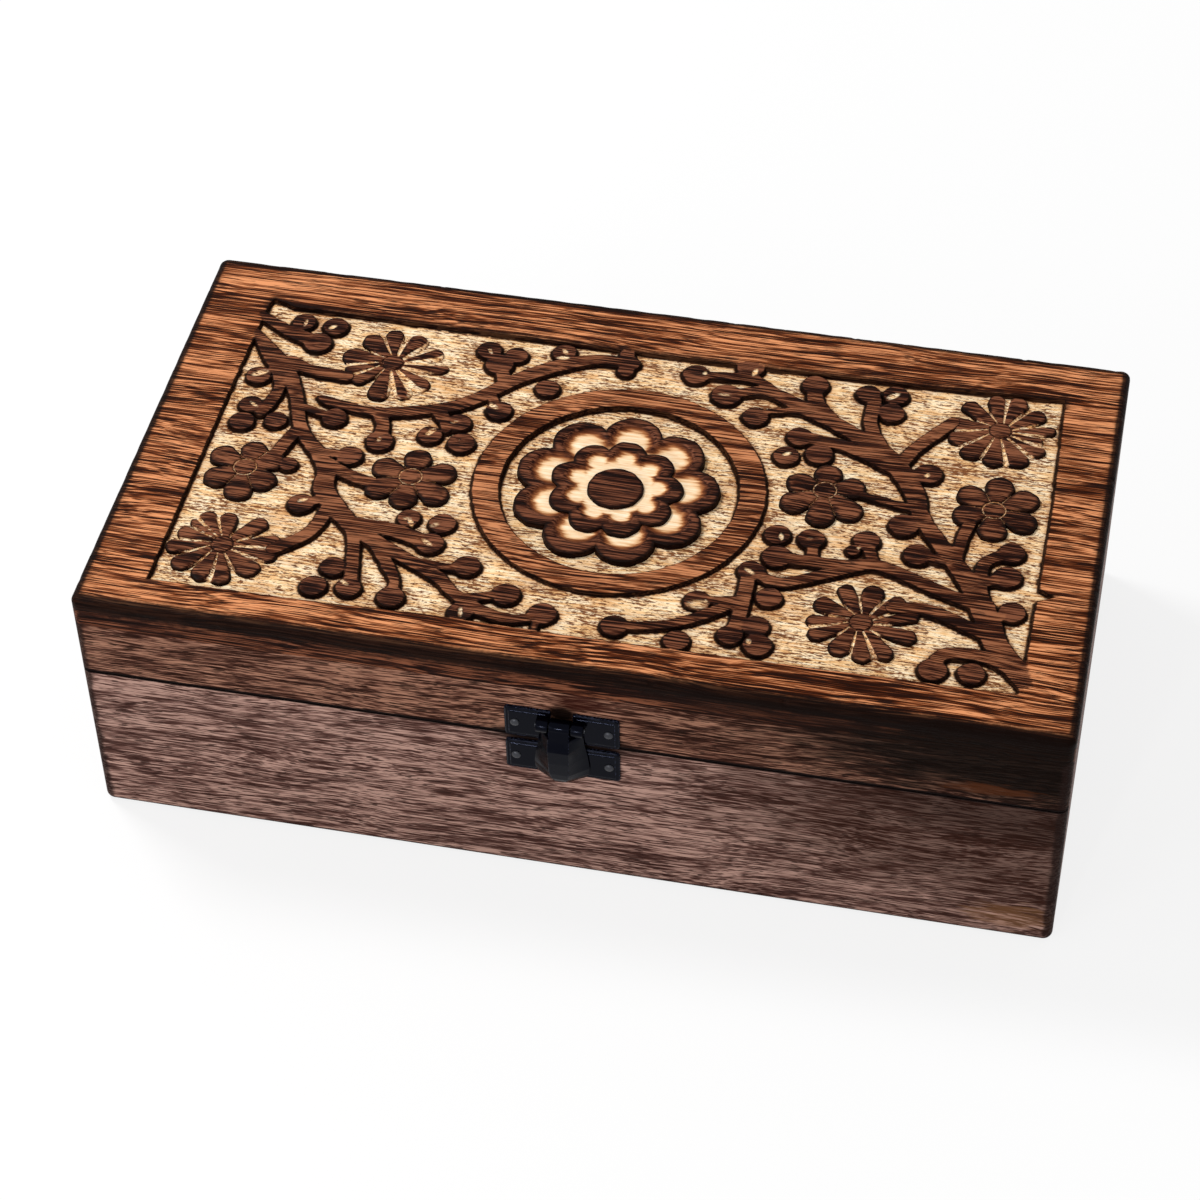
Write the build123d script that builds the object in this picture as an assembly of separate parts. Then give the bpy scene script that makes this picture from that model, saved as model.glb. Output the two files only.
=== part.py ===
from build123d import *
import os
from math import cos, radians, sin

# A carved wooden box for bottles of essential oil: a base with divider cells, a
# hinged lid with a carved panel, two butt hinges and a snap latch. Millimetres.
# X runs along the box, the front faces -Y, and the origin is the middle of the
# underside.

# The box as a whole
box_length = 256.0
box_depth = 138.0
box_height = 77.0
seam_height = 51.1
seam_gap = 0.3
vertical_corner_radius = 2.5
bottom_edge_radius = 2.0
top_edge_radius = 1.5

# The boards
wall_thickness = 9.0
corner_lap = 4.5
bottom_thickness = 5.0
bottom_rabbet = 4.5
panel_thickness = 8.5

# The divider lattice, in cells along X and cells along Y
cell_columns = 8
cell_rows = 3
divider_thickness = 3.0
divider_height = 40.0
divider_end_gap = 0.2
slot_clearance = 0.1

# The butt hinges, let into the seam at the back
lid_opening = 105.0
stop_clearance = 0.15
hinge_end_distance = 48.0
hinge_length = 26.0
barrel_radius = 1.6
hinge_pin_radius = 0.7
leaf_thickness = 1.0
leaf_edge_margin = 0.6
middle_knuckle = 8.6
running_clearance = 0.05
knuckle_gap = 0.2
mortise_clearance = 0.25
screw_spacing = 16.0
screw_length = 9.0
screw_radius = 0.9
screw_head_radius = 1.6
screw_head_height = 0.7
hole_clearance = 0.05

# The latch: an upper plate, a catch plate, a tongue and its pin
latch_centre_x = 0.0
plate_width = 29.6
plate_height = 10.4
plate_thickness = 1.0
plate_corner_radius = 1.0
plate_bevel = 0.4
upper_plate_rise = 0.1
catch_plate_drop = 1.5
latch_axis_out = 2.3
latch_axis_up = 7.15
ear_radius = 2.0
ear_length = 3.2
latch_pin_radius = 0.7
latch_pin_stand = 0.3
tongue_side_gap = 0.25
tongue_rim_gap = 0.5
tongue_wall = 0.9
bead_radius = 1.6
bead_height = 1.0
bead_side_clearance = 0.4
bead_front_clearance = 0.3
nail_spacing = 24.2
nail_shank_radius = 0.7
nail_head_radius = 1.5
nail_head_height = 0.8
nail_stop = 3.0

# The tongue's shell from its pin down. Each section is its drop below the pin,
# how far its ridge stands out from the pin, and the half widths of its ridge
# and of its rim.
tongue_sections = [
    (2.7, 2.54, 2.7, 5.5),
    (3.4, 2.7, 2.7, 5.6),
    (5.9, 3.7, 2.7, 5.9),
    (15.0, 2.9, 2.5, 7.2),
    (17.2, 2.5, 2.0, 6.9),
    (19.0, 1.5, 1.4, 5.0),
    (20.0, 0.1, 0.7, 2.4),
]

# The carved field, measured in from the edges of the lid
relief_depth = 1.2
ring_floor_depth = 1.7
field_left = 18.0
field_right = 15.3
field_front = 12.5
field_back = 17.3
field_corner_radius = 1.5

# The carving was drawn on a sheet a little larger than it is cut. The sheet's
# middle lies on the middle of the lid.
sheet_middle_x = 128.2
sheet_middle_y = 65.7
sheet_scale = 0.996

ring_centre = (129.3, 63.6)
ring_outer_radius = 38.8
ring_inner_radius = 31.2
rosette_centre = (128.4, 63.4)
rosette_lobes = 9
outer_lobe_reach = 27.6
outer_lobe_radius = 8.0
outer_scoop_radius = 22.0
inner_lobe_reach = 18.0
inner_lobe_radius = 5.4
inner_scoop_radius = 12.8
rosette_disc_radius = 7.6
scoop_depth = 1.0
flower_groove_depth = 0.6

# Daisies: the middle as x and y, then each petal's direction in degrees, its
# reach and the radius of its tip
daisy_disc_radius = 3.0
daisy_groove_width = 0.9
daisy_petal_foot = 1.2
daisies = [
    ((58.5, 100.5), [
        (134, 13.6, 2.9), (101, 13.6, 2.5), (66, 13.6, 2.9), (29, 14.2, 2.4), (2, 15.4, 1.9),
        (-36, 14.2, 2.5), (-63, 14.6, 2.5), (-95, 15.2, 2.9), (-134, 13.0, 2.2), (-158, 13.0, 2.0),
        (176, 14.3, 3.3),
    ]),
    ((32.5, 23.7), [
        (126, 13.4, 2.4), (97, 11.8, 2.5), (51, 14.0, 2.4), (16, 15.2, 2.2), (-6, 15.0, 2.4),
        (-37, 14.2, 3.1), (-76, 14.2, 2.6), (-102, 13.6, 2.9), (-137, 14.4, 2.7), (-168, 14.6, 2.3),
        (166, 13.0, 2.3), (143, 12.8, 1.4),
    ]),
    ((224.8, 104.5), [
        (100, 14.0, 2.6), (74, 14.5, 2.8), (40, 14.1, 2.5), (11, 14.7, 1.6), (-12, 11.8, 2.0),
        (-29, 14.0, 2.3), (-60, 14.5, 3.0), (-92, 13.8, 2.9), (-126, 14.2, 3.0), (-157, 14.2, 2.8),
        (176, 14.4, 2.5), (138, 14.2, 2.4),
    ]),
    ((199.0, 27.4), [
        (117, 13.9, 2.2), (82, 13.6, 2.8), (46, 14.0, 2.5), (22, 15.1, 2.3), (-13, 14.8, 2.4),
        (-52, 14.2, 2.3), (-80, 13.6, 2.4), (-113, 13.0, 2.8), (-151, 14.2, 2.4), (-173, 13.7, 1.9),
        (156, 13.7, 2.6),
    ]),
]

# Flowers with six petals: the middle, then the middle of each petal
petal_radius = 3.9
flower_heart_radius = 5.5
six_petal_flowers = [
    [(30.2, 52.9), (31.0, 59.1), (36.0, 56.7), (36.0, 49.0), (30.8, 44.3), (24.1, 48.1), (23.6, 56.2)],
    [(74.3, 57.6), (74.6, 64.3), (82.2, 60.5), (82.2, 52.1), (74.3, 49.6), (67.1, 51.9), (67.1, 59.8)],
    [(182.5, 73.1), (182.5, 79.0), (189.2, 75.2), (189.7, 66.7), (182.8, 63.5), (175.3, 67.3), (175.9, 74.7)],
    [(226.9, 73.9), (227.4, 82.7), (234.3, 79.0), (234.6, 71.0), (227.4, 66.7), (220.2, 71.0), (220.5, 78.4)],
]

# Stems as points down their middle: x, y and width
stems = [
    [(18, 106, 2.5), (26, 96.5, 6), (30.8, 91.4, 5.5), (35.6, 83.7, 4), (40.8, 70.3, 4), (48, 61.5, 4.5),
     (51.8, 55.3, 5), (53.3, 48.1, 6), (60.9, 39.5, 5.5), (66.7, 34.7, 5), (82, 27, 4), (89.9, 23, 4),
     (94.9, 18.5, 3.5), (101, 14.4, 4), (108.6, 11.9, 3.5), (114.6, 12.4, 3), (119.4, 15, 3)],
    [(14, 115.2, 3.2), (22, 110.6, 3.6), (28, 107.6, 4.4), (36, 104.8, 5)],
    [(30.8, 96.2, 4), (36.5, 93.8, 4), (47.5, 92.8, 4)],
    [(27.5, 92.5, 4), (29.8, 88.5, 3.6), (30.6, 83.7, 3.4), (29.8, 78.9, 3.6), (28.5, 74.6, 3.4)],
    [(38, 79, 2.6), (48.5, 76.1, 2.6)],
    [(39.9, 69.1, 4), (38.4, 64.8, 4), (36, 57, 4)],
    [(47, 62.4, 3.2), (56.4, 62.4, 3.2)],
    [(51.3, 58.6, 4), (58, 55.2, 4), (66, 53, 4)],
    [(54, 45.2, 3.2), (48.5, 42.3, 3)],
    [(56.1, 43.3, 4), (53.8, 32.8, 4), (46, 24.5, 4)],
    [(62.8, 37.6, 3.6), (65.7, 31.3, 3.6), (68.1, 20.3, 3.6), (68.6, 15, 3.6)],
    [(72, 30.9, 3.8), (76.7, 24.2, 3.6), (79.6, 19.4, 3), (80.1, 13.6, 2.6)],
    [(64.6, 37.5, 5), (74.8, 37.1, 5), (85.3, 34.2, 5)],
    [(80, 27.6, 2.6), (90.9, 26.6, 2.6), (96.7, 28.1, 2.8)],
    [(98, 16.5, 3), (108.8, 20, 3)],
    [(42.2, 83.4, 1.5), (46, 82, 3.5), (56.3, 80.4, 3.2), (62.8, 81, 4), (76.2, 85.2, 4), (83.3, 89.7, 4.5),
     (93.4, 100.3, 4.5), (103.5, 107.9, 5), (113.6, 112.4, 4), (122, 112.4, 4)],
    [(59.5, 80.5, 4), (61.9, 76.1, 4), (62.8, 69.4, 4)],
    [(75.5, 83.8, 4.5), (78, 80.5, 3.6), (79.2, 76.8, 2.6)],
    [(88, 92.7, 3), (91.4, 87.2, 3)],
    [(90.5, 98.6, 4), (87.4, 105.3, 4)],
    [(248, 10, 7), (241.3, 16.2, 6.8), (233.6, 25.6, 6.5), (230.2, 34, 7), (225.4, 44, 6), (218.5, 54, 5),
     (212.4, 62.2, 4.8), (208.1, 69.2, 4.8), (205.4, 77, 5.8), (197.7, 88, 6), (184.9, 97, 5),
     (172.1, 103.4, 5), (161, 108.2, 4), (150.5, 104.8, 3)],
    [(165, 107, 3), (156.5, 112.4, 3), (140.9, 111.4, 3)],
    [(172, 102.4, 2.4), (163.6, 100.7, 2.2), (159.6, 97.8, 2.4)],
    [(180.6, 99.5, 4.5), (174.8, 106.6, 4.5), (173.5, 113.2, 4.5)],
    [(197, 88.5, 4), (190.7, 99.7, 4), (190.2, 110.3, 4)],
    [(200.5, 85.5, 4), (203.5, 93.3, 4), (212, 105.5, 4)],
    [(203, 83.7, 3), (208.3, 84.3, 3)],
    [(199.5, 84.3, 4.2), (186, 90.6, 4.2), (172.7, 92.2, 4)],
    [(206.5, 70.6, 2.8), (198.7, 72, 2.5), (189, 74, 2)],
    [(221.3, 68, 3.4), (220, 61.4, 3.4), (219.5, 54, 3.4)],
    [(210.5, 65.2, 3), (204.6, 64, 3)],
    [(217.7, 53.0, 3), (209.6, 53.9, 3)],
    [(228, 38.4, 4), (216.8, 42.2, 4), (200.8, 48.1, 4), (190.2, 46.5, 4), (174.3, 46.5, 4)],
    [(196.5, 47.5, 3.6), (188.1, 42.8, 3.6), (176.9, 37.5, 3.6), (168.7, 40.1, 3.6)],
    [(198.7, 49.7, 3.4), (196, 56.6, 3.4)],
    [(182.6, 54.5, 3), (183.2, 47.5, 3.4)],
    [(168.4, 38, 4), (168.4, 22.6, 4), (167.4, 16.7, 3.6)],
    [(169, 30.5, 3.4), (158.5, 21.5, 3.4), (150, 17, 3), (138.1, 14.4, 3)],
    [(229, 29.5, 4), (215.7, 34.8, 4), (206, 34, 4)],
    [(228.4, 37, 4.5), (226.8, 46, 4), (227.2, 54.5, 3.6), (233.3, 59.2, 3.8)],
    [(226.4, 46.5, 3.5), (233.3, 50.2, 3.5)],
    [(230.4, 34, 3.5), (235.9, 38, 3.5)],
    [(237, 19, 4), (230, 21.5, 4), (221, 20.4, 4), (218.9, 14.6, 4)],
    [(157, 27.1, 2.6), (168, 29.5, 2.6)],
    [(118.6, 14, 2.2), (118.4, 8, 2)],
    [(156.2, 115, 2.2), (160, 109.5, 2.2)],
    [(103.8, 112.5, 3), (104.6, 107.5, 3)],
]

# Berries and buds: x, y and radius
berries = [
    (119.4, 15, 3.8), (36, 104.8, 4), (30.1, 112.4, 3.4), (39.2, 112.2, 3.6), (24.8, 77, 3.3),
    (24.3, 70.1, 3.5), (33.2, 72.2, 3.2), (23.6, 88.7, 3.5), (48.5, 76.1, 3.5), (41.1, 56.2, 2.6),
    (56.4, 62.4, 3.6), (48.5, 42.3, 3.6), (62.8, 21.3, 3.4), (59.7, 13.6, 3.6), (68.6, 15, 3.5),
    (80.1, 13.6, 3.7), (85.3, 34.2, 3.8), (77.7, 42.3, 3.2), (86.8, 41.9, 3.6), (96.7, 28.1, 3.6),
    (108.8, 20, 3.8), (98.8, 11.8, 3.4), (122, 112.4, 3.2), (120.8, 116, 2.2), (121.8, 109.2, 2.4),
    (62.8, 69.4, 3.8), (82, 80.4, 3.4), (75.5, 74.2, 3.4), (84.4, 72.7, 3.8), (91.4, 87.2, 3.6),
    (102.3, 98.3, 3.4), (103.8, 113.4, 3.4), (83.4, 110.5, 3.5), (91.2, 109.9, 3.2), (87.4, 105.3, 4),
    (150.5, 104.8, 4.2), (140.9, 111.4, 3.8), (155, 117, 4), (159.6, 97.8, 3.6), (173.5, 113.2, 3.8),
    (188.1, 112.4, 3.4), (195.5, 113.2, 3.6), (195.3, 106.1, 3.7), (208.3, 84.3, 3.8), (172.7, 92.2, 3.6),
    (170.3, 84.3, 3.6), (178.8, 86.4, 3.8), (204.6, 64, 4), (209.6, 53.9, 3.8), (174.3, 46.5, 4),
    (168.7, 40.1, 3.6), (173, 54.5, 3.6), (182, 54.5, 3.6), (196, 56.6, 3.6), (193.2, 52.4, 2),
    (174.8, 31.6, 3.5), (173.2, 21, 3.6), (167.4, 16.7, 3.4), (174.8, 14.6, 3.8), (138.1, 14.4, 3.6),
    (157, 27.1, 3.5), (154.5, 12.4, 3.5), (233.3, 59.2, 3.6), (233.3, 50.2, 3.8), (235.9, 38, 3.6),
    (218.9, 14.6, 3.8), (228.5, 15.1, 3.6),
]

# Worked out from the sizes above
half_length = box_length / 2
half_depth = box_depth / 2
base_top = seam_height - seam_gap / 2
lid_bottom = seam_height + seam_gap / 2
panel_bottom = box_height - panel_thickness
inner_half_length = half_length - wall_thickness
inner_half_depth = half_depth - wall_thickness
front_face = -half_depth
hinge_axis_y = half_depth - barrel_radius
leaf_width = wall_thickness - barrel_radius - leaf_edge_margin
screw_y = hinge_axis_y - (barrel_radius + leaf_width) / 2
upper_plate_bottom = lid_bottom + upper_plate_rise
catch_plate_top = base_top - catch_plate_drop
latch_axis_z = upper_plate_bottom + latch_axis_up
latch_axis_y = front_face - latch_axis_out
ridge_half = tongue_sections[0][2]
notch_half = ridge_half + tongue_side_gap


def block(x0, x1, y0, y1, z0, z1):
    """A block between two values along each axis."""
    middle = Pos((x0 + x1) / 2, (y0 + y1) / 2, (z0 + z1) / 2)
    return middle * Box(x1 - x0, y1 - y0, z1 - z0)


def bar_along_x(radius, x0, x1, y, z):
    """A round bar along X between two values."""
    return Pos((x0 + x1) / 2, y, z) * Rot(0, 90, 0) * Cylinder(radius, x1 - x0)


def rod_along_y(radius, y0, y1, x, z):
    """A round rod along Y between two values."""
    return Pos(x, (y0 + y1) / 2, z) * Rot(90, 0, 0) * Cylinder(radius, y1 - y0)


def prism_along_x(outline, x0, x1):
    """A prism along X whose outline is given as (y, z) points."""
    face = make_face(Polyline([(x0, y, z) for y, z in outline], close=True))
    return extrude(face, x1 - x0, dir=(1, 0, 0))


def rounded_envelope():
    """The outside of the closed box, with its worn corners and edges."""
    body = block(-half_length, half_length, -half_depth, half_depth, 0, box_height)
    body = fillet(body.edges().filter_by(Axis.Z), vertical_corner_radius)
    body = fillet(body.edges().group_by(Axis.Z)[0], bottom_edge_radius)
    return fillet(body.edges().group_by(Axis.Z)[-1], top_edge_radius)


def long_board(side, z0, z1):
    """A front (-1) or back (+1) board, lapped at both ends for the side boards."""
    y_outer = side * half_depth
    y_inner = side * inner_half_depth
    y_lap = side * (half_depth - corner_lap)
    board = block(-half_length, half_length, min(y_outer, y_inner), max(y_outer, y_inner), z0, z1)
    for end in (-1, 1):
        x_in = end * inner_half_length
        x_out = end * half_length
        y_near = min(y_lap, y_inner)
        y_far = max(y_lap, y_inner)
        board -= block(min(x_in, x_out), max(x_in, x_out), y_near, y_far, z0, z1)
    return board


def side_board(side, z0, z1):
    """A left (-1) or right (+1) board, held in the laps of the long boards."""
    x_outer = side * half_length
    x_inner = side * inner_half_length
    y_end = half_depth - corner_lap
    return block(min(x_outer, x_inner), max(x_outer, x_inner), -y_end, y_end, z0, z1)


def bottom_block():
    """The space that the bottom panel fills in the rabbets of the boards."""
    x_end = inner_half_length + bottom_rabbet
    y_end = inner_half_depth + bottom_rabbet
    return block(-x_end, x_end, -y_end, y_end, 0, bottom_thickness)


def hinge_centres():
    """The middle of each hinge along X, left and right."""
    place = half_length - hinge_end_distance
    return {"left": -place, "right": place}


def stop_wedge(side):
    """What is planed off the back edge so the lid stops open: below (-1) or above (+1) the seam."""
    half_angle = radians(lid_opening / 2)
    along = (cos(half_angle), side * sin(half_angle))
    into_wood = (-sin(half_angle), side * cos(half_angle))
    start = -barrel_radius
    end = 4 * barrel_radius
    points = []
    for distance in (start, end):
        y = hinge_axis_y + distance * along[0] + stop_clearance * into_wood[0]
        z = seam_height + distance * along[1] + stop_clearance * into_wood[1]
        points.append((y, z))
    points.append((points[1][0], points[0][1]))
    overrun = half_length + wall_thickness
    return prism_along_x(points, -overrun, overrun)


def hinge_mortise(centre_x, side):
    """The pocket for one leaf and the barrel in the base (-1) or the lid (+1)."""
    seat = base_top - leaf_thickness if side < 0 else lid_bottom + leaf_thickness
    half = hinge_length / 2 + mortise_clearance
    leaf_end = hinge_axis_y - leaf_width - mortise_clearance
    pocket = block(centre_x - half, centre_x + half, leaf_end, hinge_axis_y,
                   min(seat, seam_height), max(seat, seam_height))
    barrel = bar_along_x(barrel_radius + mortise_clearance, centre_x - half, centre_x + half,
                         hinge_axis_y, seam_height)
    return pocket + barrel


def screw_places(centre_x):
    """The two screws of a leaf along X."""
    return (centre_x - screw_spacing / 2, centre_x + screw_spacing / 2)


def hinge_screw(x, side, grow=0.0):
    """A countersunk screw in the base (-1) or the lid (+1), or with grow the hole for it."""
    face = base_top if side < 0 else lid_bottom
    head_end = face + side * screw_head_height
    tip = face + side * screw_length
    shank = Pos(x, screw_y, (face + tip) / 2) * Cylinder(screw_radius + grow, screw_length)
    turn = Rot(180, 0, 0) if side > 0 else Rot(0, 0, 0)
    head = Pos(x, screw_y, (face + head_end) / 2) * turn * Cone(
        screw_radius + grow, screw_head_radius + grow, screw_head_height)
    return shank + head


def knuckle_spans(centre_x, side):
    """A leaf's knuckles along X: two outer ones on the base (-1), a middle one on the lid (+1)."""
    inner = middle_knuckle / 2
    if side > 0:
        return [(centre_x - inner, centre_x + inner)]
    half = hinge_length / 2
    outer = inner + knuckle_gap
    return [(centre_x - half, centre_x - outer), (centre_x + outer, centre_x + half)]


def hinge_leaf(centre_x, side):
    """One leaf with its knuckles, in the base (-1) or the lid (+1)."""
    face = base_top if side < 0 else lid_bottom
    seat = face + side * leaf_thickness
    half = hinge_length / 2
    leaf = block(centre_x - half, centre_x + half, hinge_axis_y - leaf_width, hinge_axis_y,
                 min(face, seat), max(face, seat))
    for start, end in knuckle_spans(centre_x, -side):
        leaf -= bar_along_x(barrel_radius + knuckle_gap, start - knuckle_gap, end + knuckle_gap,
                            hinge_axis_y, seam_height)
    for start, end in knuckle_spans(centre_x, side):
        leaf += bar_along_x(barrel_radius, start, end, hinge_axis_y, seam_height)
    leaf -= bar_along_x(hinge_pin_radius + running_clearance, centre_x - half - 1,
                        centre_x + half + 1, hinge_axis_y, seam_height)
    for x in screw_places(centre_x):
        leaf -= hinge_screw(x, side, hole_clearance)
    return leaf


def hinge_pin(centre_x):
    """The pin through all the knuckles of a hinge."""
    half = hinge_length / 2
    return bar_along_x(hinge_pin_radius, centre_x - half, centre_x + half, hinge_axis_y, seam_height)


def nail_places(plate_bottom):
    """The two nails of a latch plate as (x, z)."""
    z = plate_bottom + plate_height / 2
    return [(latch_centre_x - nail_spacing / 2, z), (latch_centre_x + nail_spacing / 2, z)]


def latch_nail(x, z):
    """A nail with a domed head, driven through a latch plate into the wall."""
    plate_face = front_face - plate_thickness
    point = front_face + wall_thickness - nail_stop
    shank = rod_along_y(nail_shank_radius, plate_face, point, x, z)
    head = rod_along_y(nail_head_radius, plate_face - nail_head_height, plate_face, x, z)
    head = fillet(head.edges().group_by(Axis.Y)[0], nail_head_height * 0.7)
    return shank + head


def nail_hole(x, z):
    """The hole of a latch nail through the plate and the wood."""
    return rod_along_y(nail_shank_radius + hole_clearance, front_face - plate_thickness - 1,
                       front_face + wall_thickness - nail_stop + hole_clearance, x, z)


def latch_plate(plate_bottom):
    """A flat latch plate with rounded corners, bevelled front edges and two nail holes."""
    half = plate_width / 2
    plate = block(latch_centre_x - half, latch_centre_x + half, front_face - plate_thickness,
                  front_face, plate_bottom, plate_bottom + plate_height)
    plate = fillet(plate.edges().filter_by(Axis.Y), plate_corner_radius)
    plate = chamfer(plate.faces().sort_by(Axis.Y)[0].edges(), plate_bevel)
    for x, z in nail_places(plate_bottom):
        plate -= nail_hole(x, z)
    return plate


def ear_spans():
    """The two ears of the upper plate along X, one each side of the tongue."""
    near = notch_half
    far = notch_half + ear_length
    return [(latch_centre_x - far, latch_centre_x - near), (latch_centre_x + near, latch_centre_x + far)]


def latch_upper_plate():
    """The plate on the lid, notched for the tongue, with an ear each side that holds the pin."""
    plate = latch_plate(upper_plate_bottom)
    for start, end in ear_spans():
        plate += bar_along_x(ear_radius, start, end, latch_axis_y, latch_axis_z)
    notch_bottom = latch_axis_z - ear_radius - tongue_side_gap
    plate -= block(latch_centre_x - notch_half, latch_centre_x + notch_half, front_face - ear_radius * 3,
                   front_face + 1, notch_bottom, upper_plate_bottom + plate_height + 1)
    pin_end = notch_half + ear_length + 1
    plate -= bar_along_x(latch_pin_radius + running_clearance, latch_centre_x - pin_end,
                         latch_centre_x + pin_end, latch_axis_y, latch_axis_z)
    plate -= block(latch_centre_x - pin_end, latch_centre_x + pin_end, front_face,
                   front_face + ear_radius * 2, latch_axis_z - ear_radius * 2, latch_axis_z + ear_radius * 2)
    return plate


def latch_pin():
    """The pin through both ears and the tongue's knuckle."""
    end = notch_half + ear_length + latch_pin_stand
    return bar_along_x(latch_pin_radius, latch_centre_x - end, latch_centre_x + end,
                       latch_axis_y, latch_axis_z)


def latch_catch_plate():
    """The plate on the base, with the bead that the tongue snaps over."""
    plate = latch_plate(catch_plate_top - plate_height)
    bead_z = catch_plate_top - plate_height / 2
    plate_face = front_face - plate_thickness
    bead = Pos(latch_centre_x, plate_face + bead_radius - bead_height, bead_z) * Sphere(bead_radius)
    keep = block(latch_centre_x - bead_radius, latch_centre_x + bead_radius,
                 plate_face - bead_height * 2, front_face - plate_thickness / 2,
                 bead_z - bead_radius, bead_z + bead_radius)
    return plate + (bead & keep)


def tongue_loft(sections, rim_out):
    """A faceted shell shape lofted through trapezoids, one for each section."""
    faces = []
    for drop, out, ridge, rim in sections:
        z = latch_axis_z - drop
        y_ridge = latch_axis_y - out
        y_rim = latch_axis_y - rim_out
        corners = [
            (latch_centre_x - rim, y_rim, z),
            (latch_centre_x - ridge, y_ridge, z),
            (latch_centre_x + ridge, y_ridge, z),
            (latch_centre_x + rim, y_rim, z),
        ]
        faces.append(make_face(Polyline(corners, close=True)))
    return loft(faces, ruled=True)


def latch_tongue():
    """The snap tongue: a hollow faceted shell under a rolled knuckle."""
    rim_out = plate_thickness + tongue_rim_gap - latch_axis_out
    shell = tongue_loft(tongue_sections, rim_out)
    top_drop, top_out, top_ridge, top_rim = tongue_sections[0]
    inner = [(top_drop - 1, top_out - tongue_wall, top_ridge - tongue_wall / 2, top_rim - tongue_wall * 1.2)]
    for drop, out, ridge, rim in tongue_sections[1:-1]:
        inner.append((drop, out - tongue_wall, ridge - tongue_wall / 2, rim - tongue_wall * 1.2))
    last_drop, last_out, last_ridge, last_rim = tongue_sections[-1]
    inner.append((last_drop - tongue_wall, last_out + tongue_wall / 3, last_ridge, last_rim))
    shell -= tongue_loft(inner, rim_out - 1)
    knuckle = bar_along_x(ear_radius, latch_centre_x - ridge_half, latch_centre_x + ridge_half,
                          latch_axis_y, latch_axis_z)
    strap = prism_along_x(
        [(latch_axis_y - ear_radius, latch_axis_z),
         (latch_axis_y - top_out, latch_axis_z - top_drop),
         (latch_axis_y - top_out + tongue_wall, latch_axis_z - top_drop),
         (latch_axis_y - ear_radius + tongue_wall, latch_axis_z)],
        latch_centre_x - ridge_half, latch_centre_x + ridge_half)
    tongue = shell + knuckle + strap
    tongue -= bar_along_x(latch_pin_radius + running_clearance, latch_centre_x - ridge_half - 1,
                          latch_centre_x + ridge_half + 1, latch_axis_y, latch_axis_z)
    way_half = bead_radius + bead_side_clearance
    way_out = front_face - plate_thickness - bead_height - bead_front_clearance
    tongue -= block(latch_centre_x - way_half, latch_centre_x + way_half, way_out, front_face,
                    latch_axis_z - last_drop - 1, latch_axis_z - last_drop + tongue_wall * 2)
    return tongue


def divider_steps(span, cells):
    """The middle of each strip that parts a span into equal cells."""
    cell = (span - (cells - 1) * divider_thickness) / cells
    first = -span / 2 + cell + divider_thickness / 2
    return [first + i * (cell + divider_thickness) for i in range(cells - 1)]


def divider_strips():
    """The lattice: long strips slotted from the top, cross strips slotted from below."""
    columns = divider_steps(2 * inner_half_length, cell_columns)
    rows = divider_steps(2 * inner_half_depth, cell_rows)
    half = divider_thickness / 2
    slot_half = half + slot_clearance
    bottom = bottom_thickness
    top = bottom_thickness + divider_height
    slot_level = bottom + divider_height / 2
    x_end = inner_half_length - divider_end_gap
    y_end = inner_half_depth - divider_end_gap
    strips = {}
    for number, y in enumerate(rows, 1):
        strip = block(-x_end, x_end, y - half, y + half, bottom, top)
        for x in columns:
            strip -= block(x - slot_half, x + slot_half, y - half, y + half, slot_level, top)
        strips[f"divider_long_{number}"] = strip
    for number, x in enumerate(columns, 1):
        strip = block(x - half, x + half, -y_end, y_end, bottom, top)
        for y in rows:
            strip -= block(x - half, x + half, y - slot_half, y + slot_half, bottom,
                           slot_level + slot_clearance)
        strips[f"divider_cross_{number}"] = strip
    return strips


def on_lid(x, y):
    """A point of the carving's sheet on the lid."""
    return Vector(x - sheet_middle_x, y - sheet_middle_y) * sheet_scale


def disc(x, y, radius):
    """A round of the carving, its middle given on the sheet."""
    place = on_lid(x, y)
    return Pos(place.X, place.Y) * Circle(radius)


def lobed_outline(x, y, lobes, reach, lobe_radius):
    """Overlapping rounds set in a circle, filled to the middle. The first one points to the back."""
    place = on_lid(x, y)
    spread = reach - lobe_radius
    shape = Circle(spread)
    for i in range(lobes):
        angle = radians(90 + i * 360 / lobes)
        shape += Pos(spread * cos(angle), spread * sin(angle)) * Circle(lobe_radius)
    return Pos(place.X, place.Y) * shape


def petal_outline(x, y, direction, reach, tip_radius):
    """A daisy petal that widens from the flower's disc to a round tip."""
    along = Vector(cos(radians(direction)), sin(radians(direction)))
    across = along.rotate(Axis.Z, 90)
    middle = on_lid(x, y)
    foot = middle + along * (daisy_disc_radius / 2)
    tip = middle + along * (reach - tip_radius)
    corners = [foot + across * daisy_petal_foot, tip + across * tip_radius,
               tip - across * tip_radius, foot - across * daisy_petal_foot]
    return [make_face(Polyline(corners, close=True)), Pos(tip.X, tip.Y) * Circle(tip_radius)]


def stem_outline(points):
    """A strap with a spline down each side of its middle line."""
    middle = [on_lid(x, y) for x, y, width in points]
    left = []
    right = []
    for i, (x, y, width) in enumerate(points):
        before = middle[max(i - 1, 0)]
        after = middle[min(i + 1, len(middle) - 1)]
        side = (after - before).normalized().rotate(Axis.Z, 90) * (width / 2)
        left.append(middle[i] + side)
        right.append(middle[i] - side)
    right.reverse()
    edges = [Spline(*left), Line(left[-1], right[0]), Spline(*right), Line(right[-1], left[0])]
    if len(points) == 2:
        return make_face(Polyline([*left, *right], close=True))
    return make_face(edges)


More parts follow.
